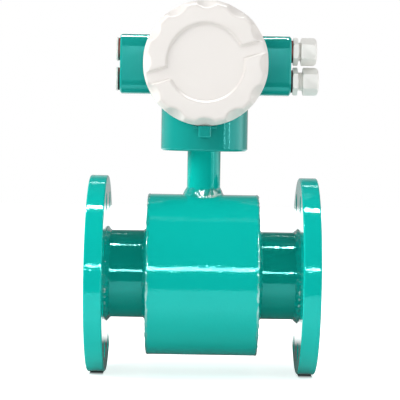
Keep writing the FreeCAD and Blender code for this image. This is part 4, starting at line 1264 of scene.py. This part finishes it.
# --------------------------------------------------------------- studio
@dataclass(frozen=True)
class Lamp:
    """Rectangular lamp that faces the meter.

    Args:
        name: name of the lamp.
        azimuth: its bearing in degrees, 0 in front and positive to the right.
        elevation: its height in degrees.
        distance: from the meter's middle.
        size: width and height.
        power: in watts.
        lights: True if it lights matt surfaces.
        mirrored: True if glossy surfaces show it.
        aside: how far it is moved along X after it is aimed.
        only: beginnings of the names of the pieces that it reaches, all if empty.
        aim: height of the point that it faces.
    """

    name: str
    azimuth: float
    elevation: float
    distance: float
    size: tuple[float, float]
    power: float
    lights: bool = True
    mirrored: bool = True
    aside: float = 0.0
    only: tuple[str, ...] = ()
    aim: float = 0.06

    def build(self) -> None:
        """Add the lamp."""
        around, above = math.radians(self.azimuth), math.radians(self.elevation)
        out = Vector((math.sin(around) * math.cos(above), -math.cos(around) * math.cos(above),
                      math.sin(above)))
        data = bpy.data.lights.new(self.name, "AREA")
        data.shape = "RECTANGLE"
        data.size, data.size_y = self.size
        data.energy = self.power
        lamp = bpy.data.objects.new(self.name, data)
        lamp.location = Vector((0.0, 0.0, self.aim)) + out * self.distance + Vector((self.aside, 0.0, 0.0))
        lamp.rotation_euler = (-out).to_track_quat("-Z", "Y").to_euler()
        lamp.visible_camera = False
        lamp.visible_diffuse = self.lights
        lamp.visible_glossy = self.mirrored
        bpy.context.scene.collection.objects.link(lamp)
        if self.only:
            reached = bpy.data.collections.new(self.name + "_reaches")
            for piece in bpy.data.objects:
                if piece.name.startswith(self.only):
                    reached.objects.link(piece)
            lamp.light_linking.receiver_collection = reached


COVERS = ("blank_cover", "window_cover")
PIPE_ENDS = ("inlet_flange", "outlet_flange", "measuring_tube")
WINDOWS = (
    Lamp("left_window", azimuth=-78, elevation=25, distance=2.0, size=(1.4, 1.2), power=31, mirrored=False),
    Lamp("right_window", azimuth=78, elevation=56, distance=2.0, size=(1.0, 1.2), power=5, mirrored=False),
    Lamp("low_fill", azimuth=0, elevation=-3, distance=1.5, size=(1.6, 0.12), power=1.5, mirrored=False),
)
STRIPS = (
    *(Lamp(name, azimuth, elevation=14, distance=2.2, size=(0.03, 1.4), power=2.5, lights=False)
      for name, azimuth in (("right_lamp_near", 55), ("right_lamp_far", 69))),
    Lamp("front_strip", azimuth=4, elevation=10.6, distance=2.3, size=(2.2, 0.03), power=50, lights=False),
    Lamp("arm_strip", azimuth=180, elevation=72, distance=1.6, size=(0.8, 0.04), power=45, lights=False,
         only=("converter_housing",)),
    Lamp("cover_strip", azimuth=0, elevation=84.5, distance=1.6, size=(2.2, 0.1), power=110, lights=False,
         only=COVERS),
    Lamp("white_fill", azimuth=62, elevation=2, distance=1.5, size=(0.8, 0.25), power=3, mirrored=False,
         only=(*COVERS, "moulded_")),
)
SIDE_STRIPS = tuple(
    lamp for side in (-1, 1) for lamp in (
        Lamp("overhead_strip", azimuth=0, elevation=84.5, distance=1.6, size=(1.0, 0.045), power=60,
             lights=False, aside=side * 0.66, only=PIPE_ENDS),
        Lamp("rear_strip", azimuth=180, elevation=46, distance=2.0, size=(0.3, 0.05), power=0.4,
             lights=False, aside=side * 0.33)))
BEAD_LAMPS = tuple(
    Lamp("bead_lamp", azimuth, elevation, distance=1.6, size=(0.12, 0.1), power=9, lights=False,
         only=("painted_welds",)) for azimuth, elevation in ((-35, 50), (30, 25)))


@dataclass
class Studio:
    """Pale floor, soft light and the camera.

    Args:
        floor_size: side of the floor.
        floor_lift: how much the floor near the meter is brightened to the eye.
        fade: distances between which the floor turns plain white.
        table_stops: how bright the table is in reflections, by y + table_shift.
        table_shift: see table_stops.
        table_shine: how bright the table is in reflections at most.
        table_glow: soft light that comes up from the table.
        table_tone: its colour.
        shadow_tone: colour of the shadow painted on the floor under a flange.
        foot_middle: distance from x = 0 to the middle of a flange's foot.
        shadow_width: width of the shadow painted under a flange.
        shadow_reach: distances from the foot between which the painted shadow ends.
        front_fill: soft light from straight ahead.
        side_fill: soft light from all other sides.
        fill_edge: y of the directions between which one goes over to the other.
        room_glow: how bright the dark room is in reflections.
        far_wall: two heights on the wall behind, and how bright it is at each.
        wall_edge: y of the directions between which the room goes over to that wall.
        side_window: x of two directions on the right, and how bright it is at each.
        camera_at: where the camera stands.
        look_at: the point in the middle of the picture.
        roll_deg: lean of the picture.
        lens: focal length in millimetres.
        sensor: width of the sensor in millimetres.
    """

    floor_size: float = 8.0
    floor_lift: float = 0.72
    fade: tuple[float, float] = (0.25, 0.75)
    table_stops: tuple[tuple[float, float], ...] = ((0.13, 0.0), (0.132, 1.0), (0.35, 1.0), (0.42, 0.35),
                                                    (0.47, 0.05), (0.72, 0.05), (0.8, 0.8))
    table_shift: float = 0.5
    table_shine: float = 2.0
    table_glow: float = 0.1
    table_tone: Colour = (0.8, 0.8, 0.8, 1.0)
    # Painted shadow: colour of the contact shadow painted on the floor under the flanges.
    shadow_tone: str = "#1d3f3d"
    foot_middle: float = 0.1055
    shadow_width: float = 0.014
    shadow_reach: tuple[float, float] = (0.014, 0.036)
    front_fill: float = 0.28
    side_fill: float = 0.72
    fill_edge: tuple[float, float] = (-1.0, -0.45)
    room_glow: float = 0.02
    far_wall: Span = (0.3, 0.5, 0.5, 0.1)
    wall_edge: tuple[float, float] = (0.0, 0.45)
    side_window: Span = (0.78, 0.92, 0.0, 1.8)
    camera_at: Corner = (-0.0077, -1.64, 0.1381)
    look_at: Corner = (-0.0034, 0.0, 0.0761)
    roll_deg: float = 0.93
    lens: float = 144.8
    sensor: float = 36.0

    def build(self) -> None:
        """Make the floor, the world, the lamps and the camera."""
        self.make_floor()
        self.make_world()
        for lamp in (*WINDOWS, *STRIPS, *SIDE_STRIPS, *BEAD_LAMPS):
            lamp.build()
        self.make_camera()

    def make_floor(self) -> None:
        """Matt white table that fades to plain white, with a contact shadow painted under each flange, and
        ends in front of the meter in reflections.
        """
        floor = new_form("studio_floor", bpy.ops.mesh.primitive_plane_add, size=self.floor_size,
                         location=(0, 0, CAD_BOX[0][2]))
        fix_place()
        material = bpy.data.materials.new("matt_white_table")
        table = Wiring(material)
        table.fix({"Roughness": 0.9, "Specular IOR Level": 0.0, "Emission Color": WHITE})
        place, ray = table.place(), table.add("LightPath").outputs
        axes = table.axes(place)
        reach = table.add("VectorMath", {0: place}, operation="LENGTH").outputs["Value"]
        white = table.remap(reach, (*self.fade, self.floor_lift, 1.0), interpolation_type="SMOOTHSTEP")
        # Painted shadow: a patch under each flange, darker in colour and without the white lift, stands in
        # for the contact shadow.
        across = table.math("COMPARE", table.math("ABSOLUTE", axes["X"]), self.foot_middle,
                            self.shadow_width / 2)
        away = table.remap(table.math("ABSOLUTE", axes["Y"]), (*self.shadow_reach, 1.0, 0.0))
        painted_shadow = table.math("MULTIPLY", across, away)
        ramp = table.add("ValToRGB", {0: table.math("ADD", axes["Y"], self.table_shift)})
        stops = ramp.color_ramp.elements
        stops[0].color = BLACK
        stops[1].position = self.table_stops[0][0]
        for position, _ in self.table_stops[1:]:
            stops.new(position)
        for stop, (_, glow) in zip(list(stops)[1:], self.table_stops):
            stop.color = (glow, glow, glow, 1.0)
        mirrored = table.math("MULTIPLY", ramp.outputs[0], self.table_shine)
        seen = table.blend(ray["Is Camera Ray"], self.table_glow, table.blend(painted_shadow, white, 0.0))
        ground = table.tint(painted_shadow, self.table_tone, linear(self.shadow_tone))
        table.drive("Base Color", table.tint(ray["Is Glossy Ray"], ground, BLACK))
        table.drive("Emission Strength", table.blend(ray["Is Glossy Ray"], seen, mirrored))
        floor.data.materials.append(material)

    def make_world(self) -> None:
        """White to the eye, soft light on matt surfaces, and a dark room with a pale wall in reflections."""
        world = bpy.data.worlds.new("studio_world")
        bpy.context.scene.world = world
        room = Wiring(world, "Background")
        axes, ray = room.axes(room.place("Generated")), room.add("LightPath").outputs
        wall = room.remap(axes["Z"], self.far_wall)
        behind = room.remap(axes["Y"], (*self.wall_edge, self.room_glow, wall))
        mirrored = room.math("ADD", behind, room.remap(axes["X"], self.side_window))
        soft = room.remap(axes["Y"], (*self.fill_edge, self.front_fill, self.side_fill))
        lit = room.blend(ray["Is Glossy Ray"], soft, mirrored)
        room.drive("Strength", room.blend(ray["Is Camera Ray"], lit, 1.0))
        room.fix({"Color": WHITE})

    def make_camera(self) -> None:
        """Put the camera in front, a little above the pipe."""
        data = bpy.data.cameras.new("camera")
        data.sensor_width = self.sensor
        data.lens = self.lens
        data.clip_start = 0.01
        camera = bpy.data.objects.new("camera", data)
        camera.location = self.camera_at
        aim = (Vector(self.look_at) - camera.location).to_track_quat("-Z", "Y").to_matrix().to_4x4()
        roll = Euler((0.0, 0.0, math.radians(self.roll_deg))).to_matrix().to_4x4()
        camera.rotation_euler = (aim @ roll).to_euler()
        bpy.context.scene.collection.objects.link(camera)
        bpy.context.scene.camera = camera
        bpy.context.scene.view_settings.view_transform = "Standard"


def main() -> None:
    """Dress the solids, build the pieces and set up the studio."""
    logging.basicConfig(level=logging.INFO, format="%(message)s")
    dress_cad_nodes()
    BlankCover("blank_cover", Axis.FRONT).build()
    WindowCover("window_cover", Axis.REAR).build()
    WeldBeads().build()
    for row in ("upper", "lower"):
        CableGland(row).build_body()
        CableGland(row).build_nut()
        BlankingPlug(row).build()
    DisplayFace().build()
    Studio().build()


if __name__ == "__main__":
    main()
